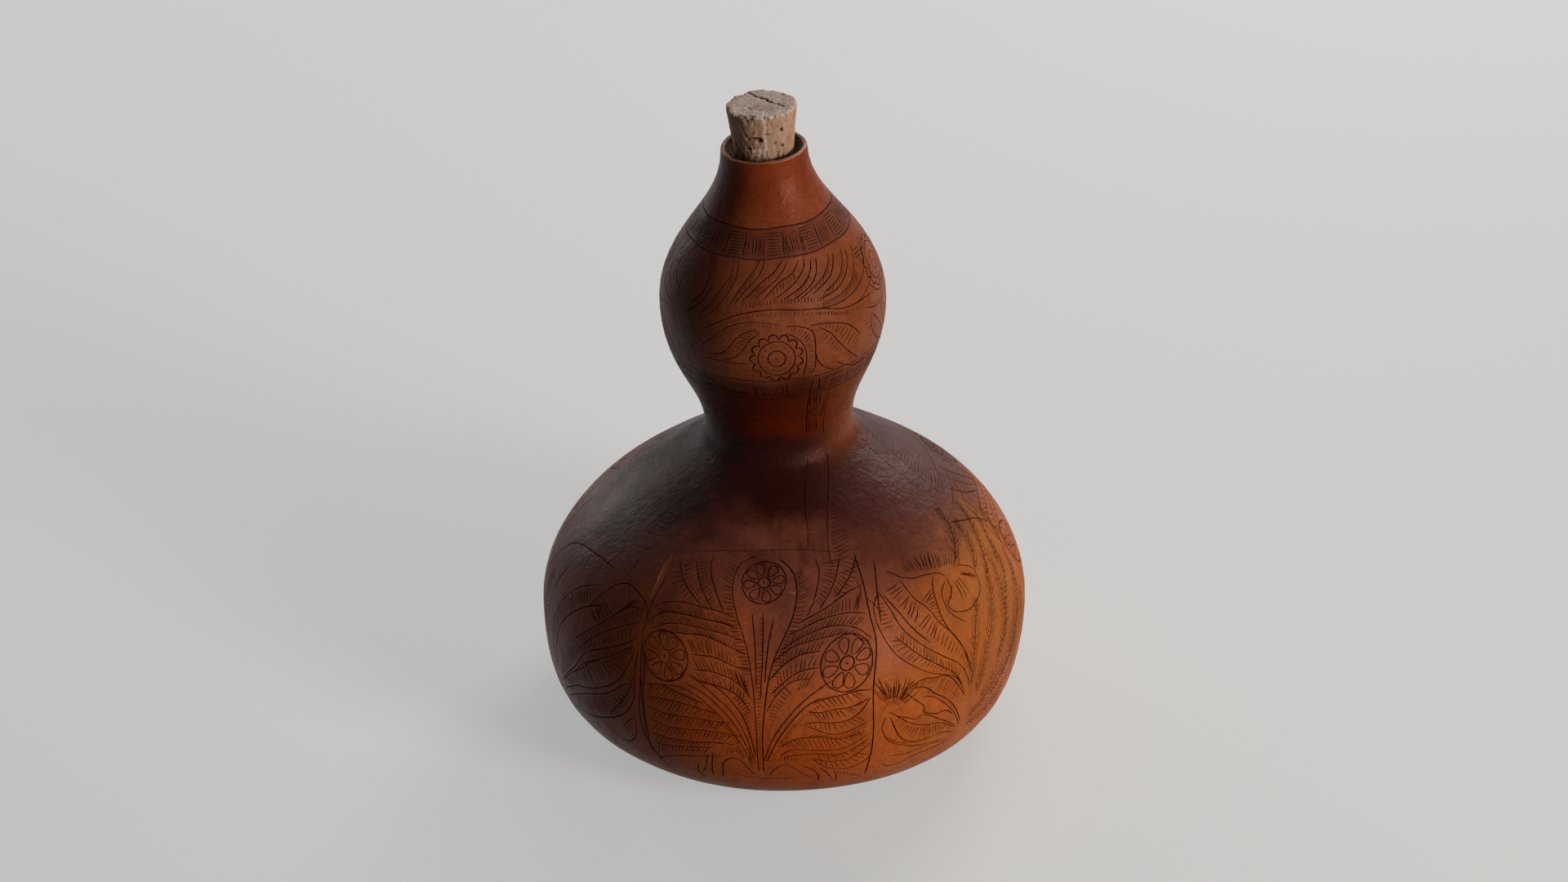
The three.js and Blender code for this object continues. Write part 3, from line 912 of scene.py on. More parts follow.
def scuff():
    # nicks and scratches from handling, cut after the dirt had settled in the drawing
    for meridian, width, points in (
        (-6, 1.8, [(-33, 125), (-35.5, 119), (-37.5, 114)]),
        (-6, 1.3, [(-35.5, 120), (-37.6, 114), (-39.5, 109)]), (-6, 0.8, [(-31.8, 127), (-34, 123)]),
        (-6, 0.35, [(-38.5, 104.5), (-40.4, 101), (-40.6, 96)]),
        (-6, 0.25, [(-37, 102.6), (-34, 105), (-30.5, 107)]),
        (-6, 0.35, [(-38.6, 90), (-36.5, 84.5), (-34, 82)]), (-6, 0.25, [(-37.8, 91), (-35, 84)]),
        (-6, 0.4, [(14, 113), (17, 116), (20, 118)]), (-6, 0.35, [(15.5, 112), (18, 114.5)]),
        (-6, 0.3, [(22, 112.6), (25, 115)]), (-6, 0.25, [(5, 104), (9, 106)]),
        (-6, 0.3, [(33, 73.5), (36, 76)]),
        (55, 0.7, [(-43.6, 75), (-42.6, 74)]), (-8, 0.8, [(25.6, 210), (26.4, 212.4)]),
        (-8, 0.6, [(25.2, 211), (25.8, 212)]), (-8, 0.35, [(14, 248), (17, 248.6)]),
        (55, 0.45, [(-6, 100), (-4.6, 98.6)]), (-68, 0.3, [(24, 58.6), (28, 57)]),
    ):
        drawAt(meridian)
        cut(curveThrough(points), width, min(0.22, width * 0.4))
    drawAt(0)
    for _ in range(26):
        middle = np.array([hand.uniform(-250, 250), hand.uniform(60, 250)])
        way = hand.uniform(0, 3.1)
        reach = hand.uniform(0.4, 1.6) * np.array([math.cos(way), math.sin(way)])
        cut([middle - reach, middle + reach], hand.uniform(0.12, 0.2), 0.07)


print("Drawing the engraving")
engrave()
drawn = len(strokes)
scuff()
print("  strokes:", drawn, "and scuffs:", len(strokes) - drawn)


def cellsOf(points, size):
    # the small cubes that a chain of points runs through
    pieces = [points]
    for share in (0.2, 0.4, 0.6, 0.8):
        pieces.append(points[:-1] + (points[1:] - points[:-1]) * share)
    return set(map(tuple, np.floor(np.concatenate(pieces) / size).astype(int)))


def inLayers(members, size=0.8):
    # no two strokes of a layer come near each other, so each layer is a clean solid
    near = (-1, 0, 1)
    around = [(i, j, k) for i in near for j in near for k in near]
    layers = []
    for stroke in members:
        turn, along, _, _, closed = stroke
        centre = onFacets(turn, along)
        if closed:
            centre = np.concatenate([centre, centre[:1]])
        cells = cellsOf(centre, size)
        for blocked, layer in layers:
            if blocked.isdisjoint(cells):
                break
        else:
            blocked, layer = set(), []
            layers.append((blocked, layer))
        layer.append(stroke)
        blocked.update((x + i, y + j, z + k) for x, y, z in cells for i, j, k in around)
    return [layer for blocked, layer in layers]


def cuttingBar(turn, along, width, depth, closed):
    # a V-shaped bar along one stroke, blunt where the burin goes in and fine where it comes out
    centre, normal = onFacets(turn, along), skinNormal(turn, along)
    if closed:
        ahead = np.roll(centre, -1, 0) - np.roll(centre, 1, 0)
    else:
        ahead = np.gradient(centre, axis=0)
    side = np.cross(ahead, normal)
    side /= np.linalg.norm(side, axis=1, keepdims=True)
    lift = engraving["lift"]
    half = np.full((len(turn), 1), width / 2 * (1 + lift / depth))
    top, bottom = centre + normal * lift, centre - normal * depth
    if not closed:
        half[0] *= 0.7
        half[-1] *= 0.35
        bottom[0] += (centre[1] - centre[0]) * 0.2
        bottom[-1] += (centre[-2] - centre[-1]) * 0.35
    return np.concatenate([top - side * half, top + side * half, bottom])


def barFaces(count, closed, start):
    left, right, bottom = start, start + count, start + 2 * count
    faces = []
    for here in range(count if closed else count - 1):
        after = (here + 1) % count
        faces.append((right + here, right + after, left + after, left + here))
        faces.append((bottom + here, bottom + after, right + after, right + here))
        faces.append((left + here, left + after, bottom + after, bottom + here))
    if not closed:
        last = count - 1
        faces.append((bottom, right, left))
        faces.append((bottom + last, left + last, right + last))
    return faces


def cutInto(target, members, material):
    for number, layer in enumerate(inLayers(members)):
        points, faces, start = [], [], 0
        for turn, along, width, depth, closed in layer:
            bar = cuttingBar(turn, along, width, depth, closed)
            points.append(bar)
            faces += barFaces(len(turn), closed, start)
            start += len(bar)
        cutter = newObject(f"cutter{number}", np.concatenate(points), faces, [material])
        modifier = target.modifiers.new("cut", "BOOLEAN")
        modifier.operation = "DIFFERENCE"
        modifier.solver = "MANIFOLD"
        modifier.material_mode = "TRANSFER"  # the cuts get the cutter's material
        modifier.object = cutter
        graph = bpy.context.evaluated_depsgraph_get()
        cutMesh = bpy.data.meshes.new_from_object(target.evaluated_get(graph))
        target.modifiers.clear()
        target.data = cutMesh
        bpy.data.objects.remove(cutter)
        print("  layer", number, "strokes", len(layer), "faces", len(cutMesh.polygons))


# materials
def addNode(tree, kind, **settings):
    node = tree.nodes.new(kind)
    for name, value in settings.items():
        setattr(node, name, value)
    return node


def newMaterial(name, colour, roughness, specular):
    material = bpy.data.materials.new(name)
    material.use_nodes = True
    shader = material.node_tree.nodes["Principled BSDF"]
    shader.inputs["Base Color"].default_value = (*colour, 1)
    shader.inputs["Roughness"].default_value = roughness
    shader.inputs["Specular IOR Level"].default_value = specular
    return material, material.node_tree, shader


def placeIn(tree, stretch=(1, 1, 1), turned=(0, 0, 0)):
    coords = addNode(tree, "ShaderNodeTexCoord")
    mapping = addNode(tree, "ShaderNodeMapping")
    mapping.inputs["Scale"].default_value = stretch
    mapping.inputs["Rotation"].default_value = turned
    tree.links.new(coords.outputs["Object"], mapping.inputs["Vector"])
    return mapping.outputs["Vector"]


def axesOf(tree, vector):
    split = addNode(tree, "ShaderNodeSeparateXYZ")
    tree.links.new(vector, split.inputs["Vector"])
    return split.outputs


def noiseIn(tree, place, scale, detail=4.0, roughness=0.55, distortion=0.0):
    node = addNode(tree, "ShaderNodeTexNoise")
    node.inputs["Scale"].default_value = scale
    node.inputs["Detail"].default_value = detail
    node.inputs["Roughness"].default_value = roughness
    node.inputs["Distortion"].default_value = distortion
    tree.links.new(place, node.inputs["Vector"])
    return node.outputs["Fac"]


def cellsIn(tree, place, scale):
    node = addNode(tree, "ShaderNodeTexVoronoi")
    node.inputs["Scale"].default_value = scale
    tree.links.new(place, node.inputs["Vector"])
    return node.outputs["Distance"]


def marked(tree, name):
    # a value that the mesh carries at its points
    return addNode(tree, "ShaderNodeAttribute", attribute_name=name).outputs["Fac"]


def between(tree, value, low, high, toLow=0.0, toHigh=1.0):
    node = addNode(tree, "ShaderNodeMapRange", interpolation_type="SMOOTHSTEP")
    for name, number in (("From Min", low), ("From Max", high), ("To Min", toLow), ("To Max", toHigh)):
        node.inputs[name].default_value = number
    tree.links.new(value, node.inputs["Value"])
    return node.outputs["Result"]


def feed(tree, socket, value):
    # a number, a colour or the end of a link goes into a socket
    if isinstance(value, (int, float)):
        socket.default_value = value
    elif isinstance(value, tuple):
        socket.default_value = (*value, 1)
    else:
        tree.links.new(value, socket)


def sums(tree, operation, first, second):
    node = addNode(tree, "ShaderNodeMath", operation=operation)
    feed(tree, node.inputs[0], first)
    feed(tree, node.inputs[1], second)
    return node.outputs["Value"]


def product(tree, first, *others):
    for other in others:
        first = sums(tree, "MULTIPLY", first, other)
    return first


def wandering(tree, value, reach):
    # noise as a push to either side
    return product(tree, sums(tree, "SUBTRACT", value, 0.5), reach)


def mixed(tree, share, first, second, blend="MIX"):
    node = addNode(tree, "ShaderNodeMix", data_type="RGBA", blend_type=blend)
    feed(tree, node.inputs["Factor"], share)
    feed(tree, node.inputs[6], first)
    feed(tree, node.inputs[7], second)
    return node.outputs[2]


def ramp(tree, value, stops):
    node = addNode(tree, "ShaderNodeValToRGB")
    node.color_ramp.interpolation = "EASE"
    elements = node.color_ramp.elements
    elements[0].position, elements[0].color = stops[0][0], (*stops[0][1], 1)
    elements[1].position, elements[1].color = stops[-1][0], (*stops[-1][1], 1)
    for position, colour in stops[1:-1]:
        elements.new(position).color = (*colour, 1)
    tree.links.new(value, node.inputs["Fac"])
    return node.outputs["Color"]


def bumped(tree, shader, height, strength, distance, below=None):
    node = addNode(tree, "ShaderNodeBump")
    node.inputs["Strength"].default_value = strength
    node.inputs["Distance"].default_value = distance
    tree.links.new(height, node.inputs["Height"])
    if below:
        tree.links.new(below, node.inputs["Normal"])
    tree.links.new(node.outputs["Normal"], shader.inputs["Normal"])
    return node.outputs["Normal"]


def nearness(tree, centre, radius, softness, ragged, scale):
    # 1 near a point of the rind, 0 away from it, with a ragged edge; in metres
    coords = addNode(tree, "ShaderNodeTexCoord")
    distance = addNode(tree, "ShaderNodeVectorMath", operation="DISTANCE")
    distance.inputs[1].default_value = centre
    tree.links.new(coords.outputs["Object"], distance.inputs[0])
    rough = noiseIn(tree, coords.outputs["Object"], scale, 5, 0.65)
    value = sums(tree, "ADD", distance.outputs["Value"], wandering(tree, rough, ragged))
    return between(tree, value, radius - softness, radius + softness, 1.0, 0.0)


# colours of the dried and oiled rind, with painted light on its right side and painted shade on its left, as
# linear red, green and blue, and places on it in metres
rind = {
    "foot": (0.28, 0.066, 0.009),
    "belly": (0.39, 0.071, 0.009),
    "panel": (0.41, 0.093, 0.024),
    "panelTop": (0.19, 0.052, 0.032),
    "stain": (0.026, 0.0035, 0.0022),
    # painted sheen: the stain made redder on the right shoulder
    "sheenRedStain": (0.085, 0.02, 0.014),
    "bandStain": (0.55, 0.62, 0.95),  # how much of the colour is left in the hatched bands
    "waist": (0.09, 0.0085, 0.001),
    # painted light: the right of the waist and the lower bulb
    "litWaistSide": (0.21, 0.05, 0.01),
    "bulbFoot": (0.068, 0.008, 0.0015),
    "bulb": (0.24, 0.062, 0.024),
    "neck": (0.21, 0.035, 0.008),
    "worn": (0.31, 0.105, 0.028),
    # painted light: the lower right side, as if lit from the right
    "paintedLitSide": (0.38, 0.096, 0.013),
    "paintedLeftShade": (0.27, 0.18, 0.13),  # how much of the colour is left in the painted shade on the side that faces left
    "clouds": (0.55, 0.5, 0.5),
    "streaks": (0.6, 0.5, 0.45),
    "speck": (0.03, 0.012, 0.008),
    "scuff": (0.34, 0.15, 0.07),
    "dirt": (0.24, 0.18, 0.18),  # how much of the colour is left at the bottom of the cuts
    "thinDirt": (0.48, 0.39, 0.39),
    "sheen": (1.0, 0.55, 0.45),
    "specular": 0.13,
    "specularInCuts": 0.05,
    "roughness": 0.4,
    "wander": 0.055,  # how far the colour bands stray up and down, slowly and quickly
    "drift": 0.016,
    "wornPlace": (0.067, -0.024, 0.06),
    "wornRadius": 0.022,
}

# share of the lip's height at which each colour is at its fullest
colourBands = ((0.0, "foot"), (0.16, "belly"), (0.26, "panel"), (0.36, "panelTop"), (0.42, "stain"),
               (0.5, "stain"), (0.56, "waist"), (0.64, "bulbFoot"), (0.74, "bulb"), (0.86, "bulb"),
               (0.96, "neck"))


def heightColour(tree, height, slow, blotch):
    stray = sums(tree, "ADD", wandering(tree, slow, rind["wander"]), wandering(tree, blotch, rind["drift"]))
    share = sums(tree, "DIVIDE", sums(tree, "ADD", height, stray), rimHeight * mm)
    return ramp(tree, share, [(place, rind[name]) for place, name in colourBands])


def litSideColours(tree, colour, flat, blotch):
    # painted light: the right side is painted lighter and more orange, as if lit from the right, and the
    # stain above it is painted redder, as a painted sheen
    right, forward, height = axesOf(tree, flat)
    side = between(tree, sums(tree, "ADD", right, product(tree, forward, -0.15)), 0.012, 0.07)
    low = between(tree, height, 0.07, 0.095, 1.0, 0.0)
    # painted light on the lower right side, as if lit from the right
    paintedLitSide = product(tree, side, low, between(tree, blotch, 0.3, 0.6, 0.55, 1.0))
    colour = mixed(tree, paintedLitSide, colour, rind["paintedLitSide"])
    # painted light on the right of the waist and the lower bulb
    litWaistSide = product(tree, between(tree, right, 0.006, 0.024), between(tree, height, 0.1, 0.112, 0.0, 0.8))
    colour = mixed(tree, litWaistSide, colour, rind["litWaistSide"])
    # painted sheen: the stain on the right shoulder made redder
    sheenRedder = product(tree, between(tree, right, 0.0, 0.05), between(tree, height, 0.072, 0.08),
                     between(tree, height, 0.098, 0.108, 1.0, 0.0))
    return mixed(tree, product(tree, sheenRedder, 0.75), colour, rind["sheenRedStain"])


def bandColours(tree, colour, flat):
    # the hatched bands, which lean with the mouth, have taken up more of the stain
    right, _, height = axesOf(tree, flat)
    level = sums(tree, "SUBTRACT", height, product(tree, right, math.tan(gourd["mouthTilt"])))
    for edges, share in ((bands["low"], 0.45), (bands["high"], 0.8)):
        low, high = (heightAlong(edge) * mm for edge in edges)
        inBand = product(tree, between(tree, level, low - 0.001, low + 0.0005),
                         between(tree, level, high - 0.0005, high + 0.001, 1.0, 0.0))
        colour = mixed(tree, product(tree, inBand, share), colour, rind["bandStain"], "MULTIPLY")
    return colour


def leftShadedColour(tree, colour):
    # painted shade: the side that faces left is painted darker, as if turned away from the light
    coords = addNode(tree, "ShaderNodeTexCoord")
    facing = axesOf(tree, coords.outputs["Normal"])
    paintedLeftShade = between(tree, facing["X"], -0.9, -0.2, 1.0, 0.0)
    return mixed(tree, paintedLeftShade, colour, rind["paintedLeftShade"], "MULTIPLY")


def grownColour(tree, colour, flat, blotch):
    # cloudy mottling, upright streaks, fine grain
    upright = noiseIn(tree, placeIn(tree, (1, 1, 0.12)), 160, 4, 0.6)
    fine = noiseIn(tree, flat, 520, 5, 0.7)
    colour = mixed(tree, between(tree, blotch, 0.35, 0.7, 0.0, 0.55), colour, rind["clouds"], "MULTIPLY")
    colour = mixed(tree, between(tree, upright, 0.45, 0.75, 0.0, 0.5), colour, rind["streaks"], "MULTIPLY")
    return mixed(tree, between(tree, fine, 0.38, 0.66, 0.0, 0.5), colour, rind["streaks"], "MULTIPLY")


def wornPatch(tree):
    # where rubbing has taken the oil away
    patch = nearness(tree, rind["wornPlace"], rind["wornRadius"], 0.014, 0.05, 60)
    grain = noiseIn(tree, placeIn(tree, (1, 1, 0.16)), 420, 5, 0.75)
    return product(tree, patch, between(tree, grain, 0.36, 0.62, 0.25, 1.0))


def scuffedColour(tree, colour, flat, blotch):
    # dark specks and pale scuffs
    specks = between(tree, noiseIn(tree, flat, 900, 2, 0.5), 0.68, 0.75)
    colour = mixed(tree, product(tree, specks, 0.5), colour, rind["speck"])
    drawnOut = noiseIn(tree, placeIn(tree, (0.25, 1, 1), (0.4, 0.5, 0.7)), 520, 3, 0.6)
    scuffs = product(tree, between(tree, drawnOut, 0.66, 0.74), between(tree, blotch, 0.45, 0.6), 0.4)
    return mixed(tree, scuffs, colour, rind["scuff"])


def rindMaterial(name, inCuts=False):
    # the same skin twice: once as it is, once darkened by the dirt that fills the cuts
    specular = rind["specularInCuts"] if inCuts else rind["specular"]
    material, tree, shader = newMaterial(name, rind["belly"], rind["roughness"], specular)
    shader.inputs["Specular Tint"].default_value = (*rind["sheen"], 1)
    flat = placeIn(tree)
    slow = noiseIn(tree, flat, 14, 3, 0.5)
    blotch = noiseIn(tree, flat, 42, 5, 0.62, 0.6)
    patch = wornPatch(tree)

    colour = heightColour(tree, axesOf(tree, flat)["Z"], slow, blotch)
    # painted light on the right side and painted sheen on the right shoulder
    colour = litSideColours(tree, colour, flat, blotch)
    colour = bandColours(tree, colour, flat)
    # painted shade on the side that faces left
    colour = leftShadedColour(tree, colour)
    colour = grownColour(tree, colour, flat, blotch)
    colour = mixed(tree, product(tree, patch, 0.8), colour, rind["worn"])
    colour = scuffedColour(tree, colour, flat, blotch)
    if inCuts:
        dirt = between(tree, noiseIn(tree, flat, 300, 4, 0.6), 0.35, 0.7)
        colour = mixed(tree, 1.0, colour, mixed(tree, dirt, rind["dirt"], rind["thinDirt"]), "MULTIPLY")
    tree.links.new(colour, shader.inputs["Base Color"])

    gloss = between(tree, blotch, 0.3, 0.7, rind["roughness"] - 0.06, rind["roughness"] + 0.12)
    gloss = sums(tree, "ADD", gloss, product(tree, patch, 0.3))
    tree.links.new(gloss, shader.inputs["Roughness"])

    # hair-fine scratches two ways, then the skin's own pebbling
    one = noiseIn(tree, placeIn(tree, (0.12, 1, 1), (0.2, 0.5, 0.9)), 700, 3, 0.6)
    other = noiseIn(tree, placeIn(tree, (1, 0.1, 1), (0.7, 0.1, 0.4)), 620, 3, 0.6)
    normal = bumped(tree, shader, sums(tree, "ADD", one, other), 0.3, 0.0004)
    normal = bumped(tree, shader, noiseIn(tree, flat, 160, 5, 0.7), 0.42, 0.0012, normal)
    bumped(tree, shader, patch, 0.35, 0.0003, normal)
    return material


# where the skin is gone; the plain colour is what shows where nothing is mixed
bareRind = {
    "scratch": {"plain": (0.22, 0.08, 0.03), "dark": (0.14, 0.035, 0.01), "light": (0.3, 0.11, 0.04)},
    "lip": {"plain": (0.36, 0.12, 0.03), "dark": (0.15, 0.045, 0.014), "light": (0.36, 0.12, 0.032),
            "fibres": (0.35, 0.25, 0.2)},  # how much of the colour is left, as for the pores
    "pith": {"plain": (0.12, 0.05, 0.025), "dark": (0.05, 0.018, 0.01), "light": (0.2, 0.09, 0.045),
             "pores": (0.3, 0.25, 0.2)},
}


def scratchMaterial():
    look = bareRind["scratch"]
    material, tree, shader = newMaterial("fresh_scratch", look["plain"], 0.6, 0.2)
    shade = noiseIn(tree, placeIn(tree), 500, 3, 0.6)
    colour = mixed(tree, shade, look["dark"], look["light"])
    tree.links.new(colour, shader.inputs["Base Color"])
    return material


def lipMaterial():
    # the sawn edge, oiled by fingers
    look = bareRind["lip"]
    material, tree, shader = newMaterial("sawn_lip", look["plain"], 0.5, 0.4)
    fibres = noiseIn(tree, placeIn(tree, (1, 1, 0.2)), 900, 4, 0.65)
    blotch = noiseIn(tree, placeIn(tree), 120, 3, 0.6)
    colour = mixed(tree, between(tree, blotch, 0.3, 0.7), look["dark"], look["light"])
    colour = mixed(tree, between(tree, fibres, 0.45, 0.65, 0.0, 0.6), colour, look["fibres"], "MULTIPLY")
    tree.links.new(colour, shader.inputs["Base Color"])
    bumped(tree, shader, fibres, 0.4, 0.0003)
    return material


def pithMaterial():
    # scraped inside of the rind, spongy and darkened by what it held
    look = bareRind["pith"]
    material, tree, shader = newMaterial("pith", look["plain"], 0.85, 0.2)
    flat = placeIn(tree)
    cells = cellsIn(tree, flat, 900)
    blotch = noiseIn(tree, flat, 150, 4, 0.65)
    colour = mixed(tree, between(tree, blotch, 0.3, 0.7), look["dark"], look["light"])
    pores = between(tree, cells, 0.1, 0.6, 0.6, 0.0)
    colour = mixed(tree, pores, colour, look["pores"], "MULTIPLY")
    tree.links.new(colour, shader.inputs["Base Color"])
    normal = bumped(tree, shader, cells, 0.5, 0.0004)
    bumped(tree, shader, blotch, 0.5, 0.0008, normal)
    return material


# colours of the cork, as linear red, green and blue; the top is paler as a cut face and is painted lighter
# still, as if lit from above
corkLook = {
    "side": (0.47, 0.29, 0.2),
    "sideGrain": (0.31, 0.175, 0.11),
    "top": (0.66, 0.53, 0.45),
    "litTopGrain": (0.43, 0.32, 0.26),
    "clouds": (0.78, 0.62, 0.5),  # how much of the colour is left in them
    "speck": (0.08, 0.04, 0.022),
    "pale": (0.72, 0.55, 0.47),
    "pit": (0.045, 0.02, 0.012),
    "grime": (0.07, 0.028, 0.015),
    "roughness": 0.88,
    "specular": 0.25,
}


def mouthGrime(tree, flat):
    # 1 low on the cork, where it has rubbed in the mouth
    fibres = noiseIn(tree, placeIn(tree, (1, 1, 0.08)), 900, 3, 0.6)
    level = sums(tree, "ADD", axesOf(tree, flat)["Z"], wandering(tree, fibres, 0.018))
    return between(tree, level, (rimHeight - 3.5) * mm, (rimHeight + 0.8) * mm, 0.85, 0.0)


def corkMaterial(name, light, dark, grimy):
    material, tree, shader = newMaterial(name, light, corkLook["roughness"], corkLook["specular"])
    flat = placeIn(tree)
    grain = noiseIn(tree, placeIn(tree, (1, 1, 0.45)), 380, 5, 0.7)
    blotch = noiseIn(tree, flat, 120, 4, 0.6)
    colour = mixed(tree, between(tree, grain, 0.3, 0.7), light, dark)
    colour = mixed(tree, between(tree, blotch, 0.4, 0.72, 0.0, 0.5), colour, corkLook["clouds"], "MULTIPLY")
    specks = between(tree, noiseIn(tree, flat, 700, 3, 0.6), 0.62, 0.72)
    colour = mixed(tree, product(tree, specks, 0.65), colour, corkLook["speck"])
    pale = between(tree, marked(tree, "pale"), 0.1, 0.9, 0.0, 0.75)
    colour = mixed(tree, pale, colour, corkLook["pale"])
    pitted = between(tree, marked(tree, "pit"), 0.15, 0.8, 0.0, 0.93)
    colour = mixed(tree, pitted, colour, corkLook["pit"])
    if grimy:
        colour = mixed(tree, mouthGrime(tree, flat), colour, corkLook["grime"])
    tree.links.new(colour, shader.inputs["Base Color"])
    normal = bumped(tree, shader, cellsIn(tree, flat, 1100), 0.35, 0.0003)
    bumped(tree, shader, grain, 0.5, 0.0005, normal)
    return material


print("Building the gourd")
rindSlot, lipSlot, pithSlot = 0, 1, 2  # the shell's materials, in the order in which it gets them

# blossom scar in the middle of a worn flat, as radius and height
footCentre = 1.3
footRows = [(2.0, 1.2), (3.6, 0.5), (5.0, 0.75), (9.0, 1.1), (16.0, 0.9), (23.0, 0.45), (29.0, 0.08),
            (32.0, 0.0)]


def levelRing(radius, height, turns):
    return np.stack([radius * np.sin(turns), -radius * np.cos(turns), np.zeros(len(turns)) + height], 1)


def footRings(turns):
    rings = []
    for radius, height in footRows:
        creased = 1 < radius < 6
        scar = 0.15 * np.sin(turns * 7 + radius) if creased else 0
        rings.append(levelRing(radius, height + scar, turns))
    return rings


def lipRings(turns):
    # over the sawn edge and down the mouth to the cork's seat, a little uneven and never above the sawn plane
    uneven = 0.16 * (np.sin(2 * turns + 0.5) + np.sin(5 * turns + 1) * 0.6 + np.sin(11 * turns) * 0.3 - 1.9)
    chip = -0.5 * np.exp(-((turns - 3.9) / 0.12) ** 2) - 0.35 * np.exp(-((turns - 5.4) / 0.09) ** 2)
    ragged = np.zeros(len(turns))
    for wave in (23, 37, 51, 70):
        ragged += np.abs(np.sin(turns * wave / 2 + wave)) * 0.1
    inner = mouthRadius - gourd["lipWidth"]
    seatTop = rimHeight - gourd["seatDepth"]
    seatBottom = seatTop - gourd["seatLength"]
    rows = [  # radius, height, how uneven, how ragged, material
        (mouthRadius - 0.03, rimHeight - 0.55, 0.6, 0, rindSlot),
        (mouthRadius - 0.16, rimHeight - 0.2, 1, 0, lipSlot),
        (mouthRadius - 0.42, rimHeight - 0.02, 1, 0, lipSlot),
        (mouthRadius - 0.8, rimHeight, 1, 0.2, lipSlot),
        (inner + 0.35, rimHeight - 0.08, 1, 0.5, lipSlot),
        (inner + 0.05, rimHeight - 0.45, 0.8, 1, lipSlot),
        (inner - 0.12, rimHeight - 1.2, 0.3, 1, pithSlot),
        (inner - 0.45, rimHeight - 2.1, 0, 1, pithSlot),
        (inner - 1.0, rimHeight - 3.1, 0, 1, pithSlot),
        (inner - 1.7, rimHeight - 4.1, 0, 0.6, pithSlot),
        (corkRadiusAt(seatTop) + cork["clearance"], seatTop, 0, 0, pithSlot),
        (corkRadiusAt(seatBottom) + cork["clearance"], seatBottom, 0, 0, pithSlot),
    ]
    rings = [grown(radius + ragged * raggedness, height + (uneven + chip) * unevenness, turns)
             for radius, height, unevenness, raggedness, _ in rows]
    return rings, [row[-1] for row in rows]


def hollowRings(turns):
    # one wall thickness inside the outline, down to the floor
    tangent = np.gradient(outline, axis=0)
    tangent /= np.linalg.norm(tangent, axis=1, keepdims=True)
    bellyWall, mouthWall = gourd["bellyWall"], gourd["mouthWall"]
    wall = bellyWall + (mouthWall - bellyWall) * outline[:, 1] / rimHeight
    hollow = np.stack([outline[:, 0] - wall * tangent[:, 1], outline[:, 1] + wall * tangent[:, 0]], 1)
    hollow = hollow[outline[:, 1] < rimHeight - boreDepth - 1][::-1]
    travel = travelAlong(hollow)
    rings = []
    for place in np.linspace(0, travel[-1], 20):
        radius, height = (np.interp(place, travel, hollow[:, k]) for k in (0, 1))
        spongy = 0.25 * np.sin(turns * 9 + place / 5) * np.sin(place / 4) if place > 4 else 0
        rings.append(grown(radius + np.minimum(spongy, 0), np.full(len(turns), height), turns))
    for radius in (20.0, 9.0, 2.5):
        rings.append(levelRing(radius, gourd["floorThickness"] - radius * 0.03, turns))
    return rings


def buildShell(materials):
    # rings from the foot's centre over the skin and the lip to the floor inside
    columns = gourd["columns"]
    foot, hollow = footRings(shellTurns), hollowRings(shellTurns)
    lip, lipSlots = lipRings(shellTurns)
    rings = foot + list(shellGrid) + lip + hollow
    slots = [rindSlot] * (len(foot) + len(shellGrid)) + lipSlots + [pithSlot] * len(hollow)
    points = np.concatenate([[(0, 0, footCentre)]] + rings + [[(0, 0, gourd["floorThickness"])]])
    faces = capFaces(0, 1, columns, True) + ringFaces(len(rings), columns, 1)
    faces += capFaces(len(points) - 1, len(points) - 1 - columns, columns, False)
    faceSlots = [rindSlot] * columns
    for here, after in zip(slots, slots[1:]):
        faceSlots += [max(here, after)] * columns
    faceSlots += [pithSlot] * columns
    return newObject("engraved_gourd", points, faces, materials, faceSlots)


def readEach(items, key, width, kind):
    # one value or vector of every item, as an array
    values = np.empty(len(items) * width, kind)
    items.foreach_get(key, values)
    return values.reshape(-1, width) if width > 1 else values


def smoothNormals(target):
    # rind faces shine as one smooth skin, whatever is cut into them; the cuts keep their own edges
    mesh = target.data
    mesh.polygons.foreach_set("use_smooth", [True] * len(mesh.polygons))
    mesh.set_sharp_from_angle(angle=math.radians(38))
    mesh.update()
    normals = readEach(mesh.corner_normals, "vector", 3, np.float32)
    corners = readEach(mesh.loops, "vertex_index", 1, np.int32)
    slots = readEach(mesh.polygons, "material_index", 1, np.int32)
    cornerSlots = np.repeat(slots, readEach(mesh.polygons, "loop_total", 1, np.int32))
    points = readEach(mesh.vertices, "co", 3, np.float32).astype(float)[corners] / mm
    turn, along = skinPlace(points)
    outside = np.hypot(points[:, 0] + axisAt(points[:, 2])[0], points[:, 1]) > radiusAlong(along) * 0.96
    onRind = (cornerSlots == rindSlot) & outside & (along > 1.5)
    normals[onRind] = skinNormal(turn[onRind], along[onRind])
    mesh.normals_split_custom_set(normals.tolist())


cutLook, scratchLook = rindMaterial("cut_line", True), scratchMaterial()
shell = buildShell([rindMaterial("rind"), lipMaterial(), pithMaterial(), cutLook, scratchLook])
print("Cutting the engraving into the rind")
cutInto(shell, strokes[:drawn], cutLook)
cutInto(shell, strokes[drawn:], scratchLook)
smoothNormals(shell)
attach(shell, "flask")
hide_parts("gourd_shell")


print("Building the cork")


